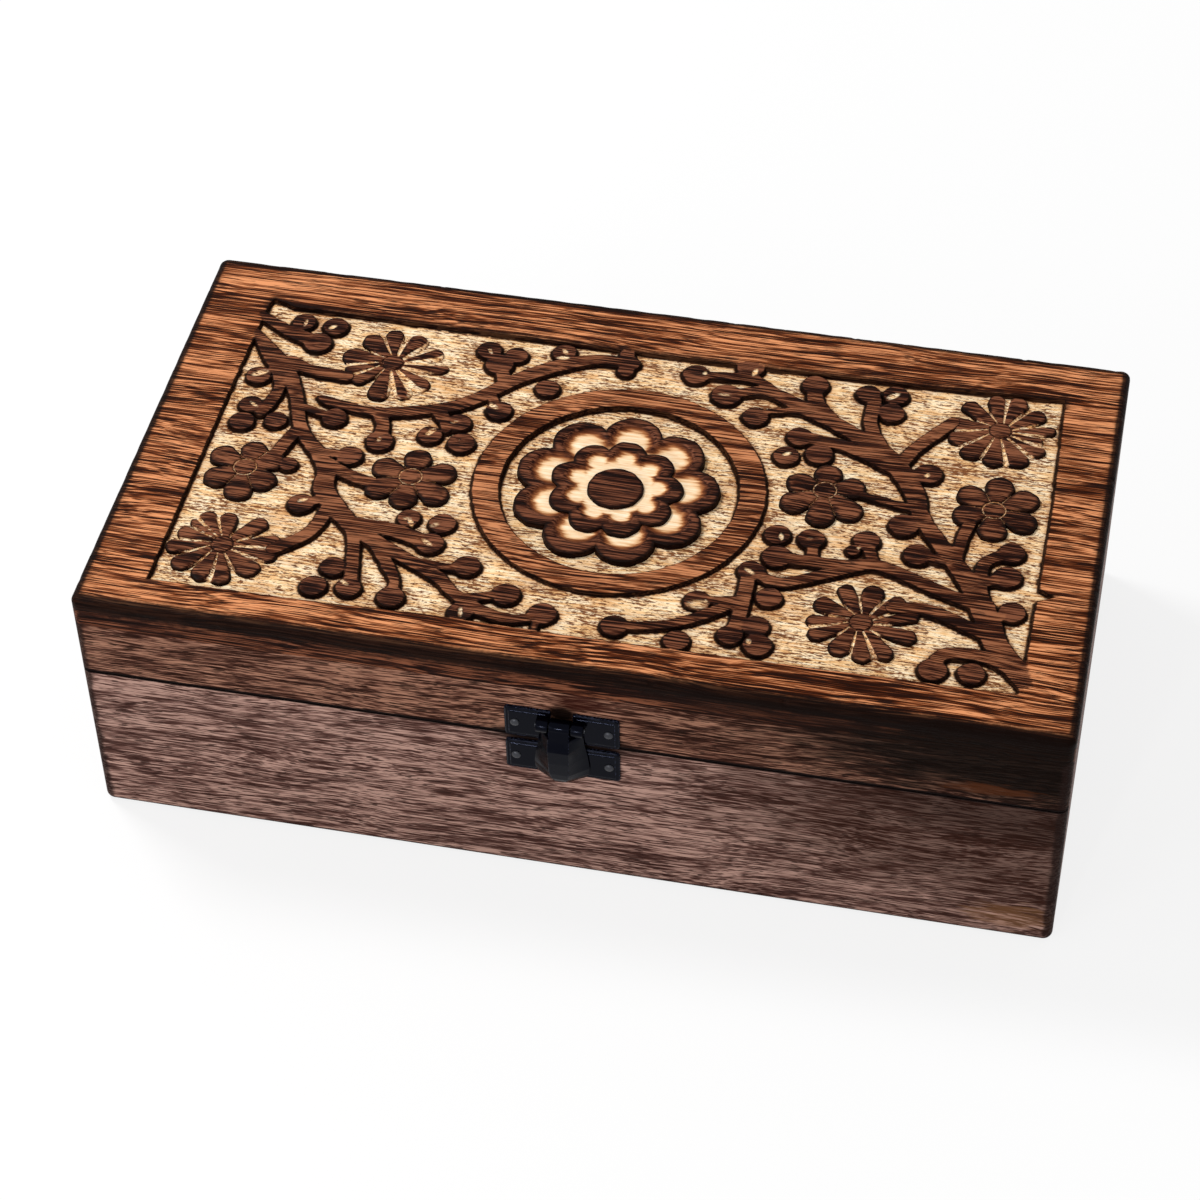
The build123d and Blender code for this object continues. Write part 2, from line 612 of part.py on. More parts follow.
def relief_outline():
    """Everything in the field that stands at the lid's surface."""
    parts = [disc(*ring_centre, ring_outer_radius) - disc(*ring_centre, ring_inner_radius)]
    parts.append(lobed_outline(*rosette_centre, rosette_lobes, outer_lobe_reach, outer_lobe_radius))
    for middle, petals in daisies:
        parts.append(disc(*middle, daisy_disc_radius + daisy_groove_width))
        for petal in petals:
            parts += petal_outline(*middle, *petal)
    for flower in six_petal_flowers:
        parts.append(disc(*flower[0], flower_heart_radius))
        for x, y in flower[1:]:
            parts.append(disc(x, y, petal_radius))
    for stem in stems:
        parts.append(stem_outline(stem))
    for x, y, radius in berries:
        parts.append(disc(x, y, radius))
    return Sketch() + parts


def field_outline():
    """The sunk field of the lid."""
    left = -half_length + field_left
    right = half_length - field_right
    front = -half_depth + field_front
    back = half_depth - field_back
    place = Pos((left + right) / 2, (front + back) / 2)
    return place * RectangleRounded(right - left, back - front, field_corner_radius)


def lid_top_panel(envelope):
    """The carved board on top of the lid."""
    panel = block(-half_length, half_length, -half_depth, half_depth, panel_bottom, box_height) & envelope
    sunk = field_outline() - relief_outline()
    panel -= Pos(0, 0, box_height) * extrude(sunk, -relief_depth)
    ring_floor = sunk & disc(*ring_centre, ring_inner_radius)
    panel -= Pos(0, 0, box_height) * extrude(ring_floor, -ring_floor_depth)
    outer_scoop = disc(*rosette_centre, outer_scoop_radius) - lobed_outline(
        *rosette_centre, rosette_lobes, inner_lobe_reach, inner_lobe_radius)
    inner_scoop = disc(*rosette_centre, inner_scoop_radius) - disc(*rosette_centre, rosette_disc_radius)
    for scoop in (outer_scoop, inner_scoop):
        panel -= Pos(0, 0, box_height) * extrude(scoop, -scoop_depth)
    for middle, petals in daisies:
        groove = disc(*middle, daisy_disc_radius + daisy_groove_width) - disc(*middle, daisy_disc_radius)
        panel -= Pos(0, 0, box_height) * extrude(groove, -flower_groove_depth)
    return panel


def build_parts():
    """Every piece of the box, by its node's name."""
    envelope = rounded_envelope()
    pieces = {}
    sides = {"left": -1, "right": 1}
    faces = {"front": -1, "back": 1}
    for name, side in faces.items():
        pieces[f"base_{name}_board"] = (long_board(side, 0, base_top) - bottom_block()) & envelope
        pieces[f"lid_{name}_rail"] = long_board(side, lid_bottom, panel_bottom) & envelope
    for name, side in sides.items():
        pieces[f"base_{name}_board"] = (side_board(side, 0, base_top) - bottom_block()) & envelope
        pieces[f"lid_{name}_rail"] = side_board(side, lid_bottom, panel_bottom) & envelope
    pieces["bottom_panel"] = bottom_block() & envelope
    pieces["lid_top_panel"] = lid_top_panel(envelope)
    pieces["base_back_board"] -= stop_wedge(-1)
    pieces["lid_back_rail"] -= stop_wedge(1)
    screws = {"base": [], "lid": []}
    for name, centre_x in hinge_centres().items():
        for body, back, side in (("base", "base_back_board", -1), ("lid", "lid_back_rail", 1)):
            pieces[back] -= hinge_mortise(centre_x, side)
            pieces[f"hinge_{name}_{body}_leaf"] = hinge_leaf(centre_x, side)
            for x in screw_places(centre_x):
                pieces[back] -= hinge_screw(x, side, hole_clearance)
                screws[body].append(hinge_screw(x, side))
        pieces[f"hinge_{name}_pin"] = hinge_pin(centre_x)
    for body, solids in screws.items():
        pieces[f"hinge_screws_{body}"] = Compound(children=[Compound(s.wrapped) for s in solids])
    nails = {"lid": [], "base": []}
    for x, z in nail_places(upper_plate_bottom):
        pieces["lid_front_rail"] -= nail_hole(x, z)
        nails["lid"].append(latch_nail(x, z))
    for x, z in nail_places(catch_plate_top - plate_height):
        pieces["base_front_board"] -= nail_hole(x, z)
        nails["base"].append(latch_nail(x, z))
    for body, solids in nails.items():
        pieces[f"latch_nails_{body}"] = Compound(children=[Compound(s.wrapped) for s in solids])
    pieces["latch_upper_plate"] = latch_upper_plate()
    pieces["latch_catch_plate"] = latch_catch_plate()
    pieces["latch_tongue"] = latch_tongue()
    pieces["latch_pin"] = latch_pin()
    pieces.update(divider_strips())
    return pieces


os.makedirs("parts", exist_ok=True)
for node, piece in build_parts().items():
    export_step(piece, f"parts/{node}.step")
    print(node, round(piece.volume, 1))
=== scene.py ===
"""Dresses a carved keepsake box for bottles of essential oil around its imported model.

Everything stands in metres in the model's frame. The carving is laid out in millimetres on a
sheet, as a carver draws it on paper, and the sheet's middle lies on the lid's middle.
"""

import logging
import math
from dataclasses import dataclass, replace
from enum import Enum

import bpy
import numpy as np
from bpy.types import Material, Node, NodeSocket, NodeTree, Object
from mathutils import Matrix, Vector


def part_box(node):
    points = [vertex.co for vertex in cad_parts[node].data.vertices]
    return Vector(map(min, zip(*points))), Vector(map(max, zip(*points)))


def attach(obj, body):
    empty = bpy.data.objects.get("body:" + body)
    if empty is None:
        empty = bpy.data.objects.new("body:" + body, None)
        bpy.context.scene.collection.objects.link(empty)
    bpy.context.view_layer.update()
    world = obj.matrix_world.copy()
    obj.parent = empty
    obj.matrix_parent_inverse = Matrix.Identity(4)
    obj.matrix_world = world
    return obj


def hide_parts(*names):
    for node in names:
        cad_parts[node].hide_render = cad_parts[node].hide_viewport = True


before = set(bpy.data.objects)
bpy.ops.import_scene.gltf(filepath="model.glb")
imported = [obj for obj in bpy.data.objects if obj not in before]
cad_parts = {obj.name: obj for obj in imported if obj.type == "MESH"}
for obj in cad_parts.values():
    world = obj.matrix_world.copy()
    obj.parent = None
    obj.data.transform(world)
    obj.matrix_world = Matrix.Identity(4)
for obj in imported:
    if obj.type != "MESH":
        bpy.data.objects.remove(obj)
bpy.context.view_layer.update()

log = logging.getLogger("scene")

Colour = tuple[float, float, float, float]
Point = tuple[float, float]
Place = tuple[float, float, float]
StemPoint = tuple[float, float, float]
Array = np.ndarray
Values = dict[str, Array]
Window = tuple[slice, slice]
Stops = tuple[tuple[float, Colour], ...]

MM = 0.001
SEED = 7
LID_LOW, LID_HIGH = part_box("lid_top_panel")
LID_MIDDLE = (LID_LOW + LID_HIGH) / 2
LID_THICKNESS = (LID_HIGH.z - LID_LOW.z) / MM
SEAM_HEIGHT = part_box("lid_front_rail")[0].z / MM
FRONT = LID_LOW.y / MM

# The sheet was drawn a little larger than it is cut, and its middle lies on the lid's middle
SHEET_MIDDLE: Point = (128.2, 65.7)
SHEET_SCALE = 0.996
SHEET_HALF: Point = tuple((LID_HIGH - LID_MIDDLE).xy / MM / SHEET_SCALE)
SHEET_LOW: Point = (SHEET_MIDDLE[0] - SHEET_HALF[0], SHEET_MIDDLE[1] - SHEET_HALF[1])
SHEET_HIGH: Point = (SHEET_MIDDLE[0] + SHEET_HALF[0], SHEET_MIDDLE[1] + SHEET_HALF[1])

# How deep the ground lies under the lid's top, outside the ring and inside it
RELIEF_DEPTH = 1.2
RING_FLOOR_DEPTH = 1.7


class Tone(Enum):
    """How dark each part of the carving was stained, from 0 to 1."""

    BORDER = 0.0
    RING = 0.3
    VINE = 0.8
    FLOWER = 0.92
    BERRY = 0.97
    ROSETTE = 1.0
    SIDE = 1.0  # the board's sides, as dark as the rosette


# The sunk field's outline on the sheet, with its horn at the back left and the chip at the right
FIELD_OUTLINE: list[Point] = [
    (17.2, 7.9), (60, 8.1), (90, 9.2), (128, 8.8), (190, 9.4), (240.6, 10.2), (241.3, 20), (241.4, 43),
    (246, 45.4), (241.5, 47.2), (241.6, 80), (240.4, 119.6), (200, 118), (128, 117.2), (60, 117.6),
    (26, 118), (19.4, 120.2), (18.4, 117), (17.9, 90), (17.5, 50),
]

RING_MIDDLE: Point = (129.3, 63.6)
RING_OUTER = 38.8
RING_INNER = 31.6
RING_RADIUS = (RING_OUTER + RING_INNER) / 2
ROSETTE_MIDDLE: Point = (128.4, 63.4)

# Stems as points down their middle: x, y and width
STEMS: list[list[StemPoint]] = [
    [(18, 106, 2.5), (26, 96.5, 6), (30.8, 91.4, 5.5), (35.6, 83.7, 4), (40.8, 70.3, 4), (48, 61.5, 4.5),
     (51.8, 55.3, 5), (53.3, 48.1, 6), (60.9, 39.5, 5.5), (66.7, 34.7, 5), (82, 27, 4), (89.9, 23, 4),
     (94.9, 18.5, 3.5), (101, 14.4, 4), (108.6, 11.9, 3.5), (114.6, 12.4, 3), (119.4, 15, 3)],
    [(14, 115.2, 3.2), (22, 110.6, 3.6), (28, 107.6, 4.4), (36, 104.8, 5)],
    [(30.8, 96.2, 4), (36.5, 93.8, 4), (47.5, 92.8, 4)],
    [(27.5, 92.5, 4), (29.8, 88.5, 3.6), (30.6, 83.7, 3.4), (29.8, 78.9, 3.6), (28.5, 74.6, 3.4)],
    [(38, 79, 2.6), (48.5, 76.1, 2.6)],
    [(39.9, 69.1, 4), (38.4, 64.8, 4), (36, 57, 4)],
    [(47, 62.4, 3.2), (56.4, 62.4, 3.2)],
    [(51.3, 58.6, 4), (58, 55.2, 4), (66, 53, 4)],
    [(54, 45.2, 3.2), (48.5, 42.3, 3)],
    [(56.1, 43.3, 4), (53.8, 32.8, 4), (46, 24.5, 4)],
    [(62.8, 37.6, 3.6), (65.7, 31.3, 3.6), (68.1, 20.3, 3.6), (68.6, 15, 3.6)],
    [(72, 30.9, 3.8), (76.7, 24.2, 3.6), (79.6, 19.4, 3), (80.1, 13.6, 2.6)],
    [(64.6, 37.5, 5), (74.8, 37.1, 5), (85.3, 34.2, 5)],
    [(80, 27.6, 2.6), (90.9, 26.6, 2.6), (96.7, 28.1, 2.8)],
    [(98, 16.5, 3), (108.8, 20, 3)],
    [(42.2, 83.4, 1.5), (46, 82, 3.5), (56.3, 80.4, 3.2), (62.8, 81, 4), (76.2, 85.2, 4), (83.3, 89.7, 4.5),
     (93.4, 100.3, 4.5), (103.5, 107.9, 5), (113.6, 112.4, 4), (122, 112.4, 4)],
    [(59.5, 80.5, 4), (61.9, 76.1, 4), (62.8, 69.4, 4)],
    [(75.5, 83.8, 4.5), (78, 80.5, 3.6), (79.2, 76.8, 2.6)],
    [(88, 92.7, 3), (91.4, 87.2, 3)],
    [(90.5, 98.6, 4), (87.4, 105.3, 4)],
    [(118.6, 14, 2.2), (118.4, 8, 2)],
    [(103.8, 112.5, 3), (104.6, 107.5, 3)],
    [(248, 10, 7), (241.3, 16.2, 6.8), (233.6, 25.6, 6.5), (230.2, 34, 7), (225.4, 44, 6), (218.5, 54, 5),
     (212.4, 62.2, 4.8), (208.1, 69.2, 4.8), (205.4, 77, 5.8), (197.7, 88, 6), (184.9, 97, 5),
     (172.1, 103.4, 5), (161, 108.2, 4), (150.5, 104.8, 3)],
    [(165, 107, 3), (156.5, 112.4, 3), (140.9, 111.4, 3)],
    [(172, 102.4, 2.4), (163.6, 100.7, 2.2), (159.6, 97.8, 2.4)],
    [(180.6, 99.5, 4.5), (174.8, 106.6, 4.5), (173.5, 113.2, 4.5)],
    [(197, 88.5, 4), (190.7, 99.7, 4), (190.2, 110.3, 4)],
    [(200.5, 85.5, 4), (203.5, 93.3, 4), (212, 105.5, 4)],
    [(203, 83.7, 3), (208.3, 84.3, 3)],
    [(199.5, 84.3, 4.2), (186, 90.6, 4.2), (172.7, 92.2, 4)],
    [(206.5, 70.6, 2.8), (198.7, 72, 2.5), (189, 74, 2)],
    [(221.3, 68, 3.4), (220, 61.4, 3.4), (219.5, 54, 3.4)],
    [(210.5, 65.2, 3), (204.6, 64, 3)],
    [(217.7, 53.0, 3), (209.6, 53.9, 3)],
    [(228, 38.4, 4), (216.8, 42.2, 4), (200.8, 48.1, 4), (190.2, 46.5, 4), (174.3, 46.5, 4)],
    [(196.5, 47.5, 3.6), (188.1, 42.8, 3.6), (176.9, 37.5, 3.6), (168.7, 40.1, 3.6)],
    [(198.7, 49.7, 3.4), (196, 56.6, 3.4)],
    [(182.6, 54.5, 3), (183.2, 47.5, 3.4)],
    [(168.4, 38, 4), (168.4, 22.6, 4), (167.4, 16.7, 3.6)],
    [(169, 30.5, 3.4), (158.5, 21.5, 3.4), (150, 17, 3), (138.1, 14.4, 3)],
    [(157, 27.1, 2.6), (168, 29.5, 2.6)],
    [(229, 29.5, 4), (215.7, 34.8, 4), (206, 34, 4)],
    [(228.4, 37, 4.5), (226.8, 46, 4), (227.2, 54.5, 3.6), (233.3, 59.2, 3.8)],
    [(226.4, 46.5, 3.5), (233.3, 50.2, 3.5)],
    [(230.4, 34, 3.5), (235.9, 38, 3.5)],
    [(237, 19, 4), (230, 21.5, 4), (221, 20.4, 4), (218.9, 14.6, 4)],
    [(156.2, 115, 2.2), (160, 109.5, 2.2)],
]

# Berries and buds: x, y and radius
BERRIES: list[StemPoint] = [
    (119.4, 15, 3.8), (36, 104.8, 4), (30.1, 112.4, 3.4), (39.2, 112.2, 3.6), (24.8, 77, 3.3),
    (24.3, 70.1, 3.5), (33.2, 72.2, 3.2), (23.6, 88.7, 3.5), (48.5, 76.1, 3.5), (41.1, 56.2, 2.6),
    (56.4, 62.4, 3.6), (48.5, 42.3, 3.6), (62.8, 21.3, 3.4), (59.7, 13.6, 3.6), (68.6, 15, 3.5),
    (80.1, 13.6, 3.7), (85.3, 34.2, 3.8), (77.7, 42.3, 3.2), (86.8, 41.9, 3.6), (96.7, 28.1, 3.6),
    (108.8, 20, 3.8), (98.8, 11.8, 3.4), (122, 112.4, 3.2), (120.8, 116, 2.2), (121.8, 109.2, 2.4),
    (62.8, 69.4, 3.8), (82, 80.4, 3.4), (75.5, 74.2, 3.4), (84.4, 72.7, 3.8), (91.4, 87.2, 3.6),
    (102.3, 98.3, 3.4), (103.8, 113.4, 3.4), (83.4, 110.5, 3.5), (91.2, 109.9, 3.2), (87.4, 105.3, 4),
    (150.5, 104.8, 4.2), (140.9, 111.4, 3.8), (155, 117, 4), (159.6, 97.8, 3.6), (173.5, 113.2, 3.8),
    (188.1, 112.4, 3.4), (195.5, 113.2, 3.6), (195.3, 106.1, 3.7), (208.3, 84.3, 3.8),
    (172.7, 92.2, 3.6), (170.3, 84.3, 3.6), (178.8, 86.4, 3.8), (204.6, 64, 4), (209.6, 53.9, 3.8),
    (174.3, 46.5, 4), (168.7, 40.1, 3.6), (173, 54.5, 3.6), (182, 54.5, 3.6), (196, 56.6, 3.6),
    (193.2, 52.4, 2), (174.8, 31.6, 3.5), (173.2, 21, 3.6), (167.4, 16.7, 3.4), (174.8, 14.6, 3.8),
    (138.1, 14.4, 3.6), (157, 27.1, 3.5), (154.5, 12.4, 3.5), (233.3, 59.2, 3.6), (233.3, 50.2, 3.8),
    (235.9, 38, 3.6), (218.9, 14.6, 3.8), (228.5, 15.1, 3.6),
]


@dataclass(frozen=True)
class Nick:
    """A small cut that shows paler wood: its middle, turn in degrees, length, width and paleness."""

    x: float
    y: float
    turn: float
    length: float
    width: float
    paleness: float = 1.0

    def share(self, x: Array, y: Array) -> Array:
        """The paleness at the middle, falling as a bell to half of it on the nick's own edge.

        Args:
            x: Places along X.
            y: Places along Y.

        Returns:
            One paleness for each place.
        """
        way = math.radians(self.turn)
        along = (x - self.x) * math.cos(way) + (y - self.y) * math.sin(way)
        across = (y - self.y) * math.cos(way) - (x - self.x) * math.sin(way)
        away = (2 * along / self.length) ** 2 + (2 * across / self.width) ** 2
        return self.paleness * 0.5**away


NICKS: list[Nick] = [Nick(*measures) for measures in (
    (30.6, 112.1, 92, 2.2, 0.8), (38.4, 111.7, 40, 2.0, 1.0), (23.8, 89.7, 32, 3.8, 1.5),
    (104.0, 113.7, 130, 2.2, 0.9), (103.9, 111.2, 10, 2.8, 1.0), (150.1, 104.8, 5, 4.4, 1.2, 0.5),
    (170.4, 84.9, 30, 2.0, 0.9), (194.8, 112.7, 43, 3.2, 1.4), (48.6, 43.5, 30, 2.2, 0.9),
    (78.5, 40.9, 118, 3.2, 0.9), (76.9, 41.9, 20, 1.8, 1.2, 0.5), (84.5, 34.4, 147, 3.0, 1.0),
    (98.9, 11.6, 101, 2.8, 0.9), (159.3, 27.1, 0, 0.9, 0.7), (157.4, 25.6, 10, 5.5, 3.2, 0.6),
    (174.2, 53.7, 104, 2.2, 0.8), (181.4, 54.3, 20, 2.6, 1.3, 0.35), (83.7, 73.6, 126, 2.3, 0.6, 0.35),
    (75.4, 75.4, 60, 3.0, 1.3), (168.4, 39.8, 148, 3.2, 1.0, 0.8), (25.7, 77.1, 148, 2.9, 0.8, 0.8),
    (67.1, 16.3, 146, 3.0, 0.9, 0.8), (62.5, 70.0, 90, 1.4, 1.0, 0.9), (80.8, 80.4, 18, 2.0, 0.9, 0.8),
    (83.7, 110.2, 125, 2.4, 0.8, 0.8), (143.2, 112.3, 0, 1.2, 1.0, 0.8),
    (156.5, 115.2, 80, 2.6, 1.1, 0.9), (208.0, 83.6, 70, 1.6, 1.1, 0.9),
    (194.4, 53.5, 60, 1.6, 0.8, 0.7), (172.4, 15.2, 110, 1.8, 1.1, 0.9),
    (89.4, 88.6, 150, 3.2, 1.2, 0.9), (85.0, 41.0, 35, 3.0, 1.6, 0.5),
)]

# Daisies by place: the middle, then each petal's direction in degrees, reach and tip radius
DAISIES: dict[str, tuple[Point, list[StemPoint]]] = {
    "back_left": ((58.5, 100.5), [
        (134, 13.6, 2.9), (101, 13.6, 2.5), (66, 13.6, 2.9), (29, 14.2, 2.4), (2, 15.4, 1.9),
        (-36, 14.2, 2.5), (-63, 14.6, 2.5), (-95, 15.2, 2.9), (-134, 13.0, 2.2), (-158, 13.0, 2.0),
        (176, 14.3, 3.3),
    ]),
    "front_left": ((32.5, 23.7), [
        (126, 13.4, 2.4), (97, 11.8, 2.5), (51, 14.0, 2.4), (16, 15.2, 2.2), (-6, 15.0, 2.4),
        (-37, 14.2, 3.1), (-76, 14.2, 2.6), (-102, 13.6, 2.9), (-137, 14.4, 2.7), (-168, 14.6, 2.3),
        (166, 13.0, 2.3), (143, 12.8, 1.4),
    ]),
    "back_right": ((224.8, 104.5), [
        (100, 14.0, 2.6), (74, 14.5, 2.8), (40, 14.1, 2.5), (11, 14.7, 1.6), (-12, 11.8, 2.0),
        (-29, 14.0, 2.3), (-60, 14.5, 3.0), (-92, 13.8, 2.9), (-126, 14.2, 3.0), (-157, 14.2, 2.8),
        (176, 14.4, 2.5), (138, 14.2, 2.4),
    ]),
    "front_right": ((199.0, 27.4), [
        (117, 13.9, 2.2), (82, 13.6, 2.8), (46, 14.0, 2.5), (22, 15.1, 2.3), (-13, 14.8, 2.4),
        (-52, 14.2, 2.3), (-80, 13.6, 2.4), (-113, 13.0, 2.8), (-151, 14.2, 2.4), (-173, 13.7, 1.9),
        (156, 13.7, 2.6),
    ]),
}

# Flowers with six petals by place: the middle, then the middle of each petal
SIX_PETAL_FLOWERS: dict[str, list[Point]] = {
    "left": [
        (30.2, 52.9), (31.0, 59.1), (36.0, 56.7), (36.0, 49.0), (30.8, 44.3), (24.1, 48.1), (23.6, 56.2),
    ],
    "inner_left": [
        (74.3, 57.6), (74.6, 64.3), (82.2, 60.5), (82.2, 52.1), (74.3, 49.6), (67.1, 51.9), (67.1, 59.8),
    ],
    "inner_right": [
        (182.5, 73.1), (182.5, 79.0), (189.2, 75.2), (189.7, 66.7), (182.8, 63.5), (175.3, 67.3),
        (175.9, 74.7),
    ],
    "right": [
        (226.9, 73.9), (227.4, 82.7), (234.3, 79.0), (234.6, 71.0), (227.4, 66.7), (220.2, 71.0),
        (220.5, 78.4),
    ],
}


def srgb(red: float, green: float, blue: float) -> Colour:
    """A colour given as 0 to 255 screen values, in the linear values that shaders take."""
    screen = np.array([red, green, blue]) / 255
    return (*np.where(screen <= 0.04045, screen / 12.92, ((screen + 0.055) / 1.055) ** 2.4).tolist(), 1.0)


def smooth_step(low: float, high: float, value: Array) -> Array:
    """0 below low, 1 above high, and 3 t squared less 2 t cubed between them."""
    t = np.clip((value - low) / (high - low), 0, 1)
    return t * t * (3 - 2 * t)


def smooth_union(first: Array, second: Array, blend: float) -> Array:
    """The smaller of two distances, filleted over a stretch as wide as blend where they are near."""
    h = np.clip(0.5 + 0.5 * (second - first) / blend, 0, 1)
    return second + (first - second) * h - blend * h * (1 - h)


def ripple(x: Array, y: Array, wavelength: float, seed: int, count: int = 9) -> Array:
    """A soft irregular wave between about -1 and 1: the mean of sine waves in seeded directions.

    Args:
        x: Places along X in millimetres.
        y: Places along Y in millimetres.
        wavelength: The middle length of the waves.
        seed: Fixes the directions, lengths and phases.
        count: How many waves are added.

    Returns:
        One value for each place.
    """
    draw = np.random.default_rng(SEED + seed)
    total = np.zeros(np.broadcast(x, y).shape)
    for turn, phase, stretch in zip(*draw.random((3, count))):
        number = 2 * math.pi / (wavelength * (0.6 + 0.9 * stretch))
        way = 2 * math.pi * turn
        total = total + np.sin(number * (x * math.cos(way) + y * math.sin(way)) + 2 * math.pi * phase)
    return total / math.sqrt(count)


def smooth_path(points: list[StemPoint], parts: int = 8) -> Array:
    """A Catmull-Rom curve through points with a width each.

    On the span from b to c, with a before it and d after it, a point is half of
    2b + (c - a) t + (2a - 5b + 4c - d) t squared + (3b - a - 3c + d) t cubed.

    Args:
        points: x, y and width of each point.
        parts: How many parts each span is cut into.

    Returns:
        The points of the curve as rows of x, y and width.
    """
    given = np.asarray(points, float)
    padded = np.vstack([2 * given[0] - given[1], given, 2 * given[-1] - given[-2]])
    a, b, c, d = padded[:-3, None], padded[1:-2, None], padded[2:-1, None], padded[3:, None]
    t = (np.arange(parts) / parts)[None, :, None]
    curve = 0.5 * (2 * b + (c - a) * t + (2 * a - 5 * b + 4 * c - d) * t**2 + (3 * b - a - 3 * c + d) * t**3)
    return np.vstack([curve.reshape(-1, 3), given[-1]])


def strap_distance(x: Array, y: Array, path: Array) -> Array:
    """Distance to a strap of changing width: to its middle line, less half the width there.

    Args:
        x: Places along X.
        y: Places along Y.
        path: Rows of x, y and width down the strap's middle.

    Returns:
        One distance for each place, negative inside.
    """
    nearest = np.full(x.shape, np.inf)
    for (x0, y0, w0), (x1, y1, w1) in zip(path[:-1], path[1:]):
        dx, dy = x1 - x0, y1 - y0
        share = np.clip(((x - x0) * dx + (y - y0) * dy) / (dx * dx + dy * dy + 1e-9), 0, 1)
        reach = np.hypot(x - x0 - share * dx, y - y0 - share * dy)
        nearest = np.minimum(nearest, reach - (w0 + (w1 - w0) * share) / 2)
    return nearest


def polygon_distance(x: Array, y: Array, outline: list[Point]) -> Array:
    """Distance to a polygon's nearest side, negative where a ray crosses an odd number of sides.

    Args:
        x: Places along X.
        y: Places along Y.
        outline: The corners in order.

    Returns:
        One distance for each place.
    """
    nearest = np.full(x.shape, np.inf)
    inside = np.zeros(x.shape, bool)
    for (x0, y0), (x1, y1) in zip(outline, outline[1:] + outline[:1]):
        dx, dy = x1 - x0, y1 - y0
        share = np.clip(((x - x0) * dx + (y - y0) * dy) / (dx * dx + dy * dy), 0, 1)
        nearest = np.minimum(nearest, np.hypot(x - x0 - share * dx, y - y0 - share * dy))
        if y0 != y1:
            inside ^= ((y0 > y) != (y1 > y)) & (x < x0 + (y - y0) * dx / dy)
    return np.where(inside, -nearest, nearest)


def beside(mask: Array) -> Array:
    """True where a neighbour along either axis is True.

    Args:
        mask: A grid of True and False.

    Returns:
        A grid of the same shape.
    """
    found = np.zeros_like(mask)
    found[1:] |= mask[:-1]
    found[:-1] |= mask[1:]
    found[:, 1:] |= mask[:, :-1]
    found[:, :-1] |= mask[:, 1:]
    return found


def cell_corners(number: Array) -> tuple[Array, Array, Array, Array]:
    """The numbers at each cell's four corners, turning anticlockwise."""
    return number[:-1, :-1], number[1:, :-1], number[1:, 1:], number[:-1, 1:]


@dataclass
class DistanceField:
    """Signed distances to carved outlines on a grid of the sheet: negative inside a raised shape."""

    columns: Array
    rows: Array
    reach: float = 6.0

    def __post_init__(self) -> None:
        """Lays out the grid with nothing raised on it."""
        self.x, self.y = np.meshgrid(self.columns, self.rows, indexing="ij")
        self.distance = np.full(self.x.shape, self.reach)
        self.tone = np.zeros(self.x.shape)

    def window(self, points: Array, margin: float) -> Window:
        """The part of the grid within margin of the points.

        Args:
            points: Rows of x and y.
            margin: Millimetres round them.

        Returns:
            Slices of the columns and the rows.
        """
        low = points.min(0) - margin
        high = points.max(0) + margin
        first = np.searchsorted(self.columns, (low[0], high[0]))
        second = np.searchsorted(self.rows, (low[1], high[1]))
        return slice(*first), slice(*second)

    def join(self, window: Window, distance: Array, blend: float, tone: Tone) -> None:
        """Raises one more shape and keeps the tone of the nearest one.

        Args:
            window: The part of the grid that the shape can reach.
            distance: The shape's distance there.
            blend: How wide the fillet is where shapes meet.
            tone: How dark the shape was stained.
        """
        before = self.distance[window]
        self.tone[window] = np.where(distance < before, tone.value, self.tone[window])
        self.distance[window] = smooth_union(before, distance, blend)

    def add_stem(self, points: list[StemPoint], blend: float, tone: Tone = Tone.VINE) -> None:
        """Raises a strap along a smooth curve.

        Args:
            points: x, y and width of each point.
            blend: How wide the fillet is where shapes meet.
            tone: How dark the shape was stained.
        """
        path = smooth_path(points)
        window = self.window(path[:, :2], self.reach + path[:, 2].max() / 2)
        self.join(window, strap_distance(self.x[window], self.y[window], path), blend, tone)

    def add_round(self, x: float, y: float, radius: float, blend: float, tone: Tone = Tone.VINE) -> None:
        """Raises a disc."""
        window = self.window(np.array([[x, y]]), self.reach + radius)
        self.join(window, np.hypot(self.x[window] - x, self.y[window] - y) - radius, blend, tone)

    def add_wobble(self, amount: float, wavelength: float, seed: int) -> None:
        """Lets every outline stray as a hand-cut one does."""
        self.distance = self.distance + amount * ripple(self.x, self.y, wavelength, seed)


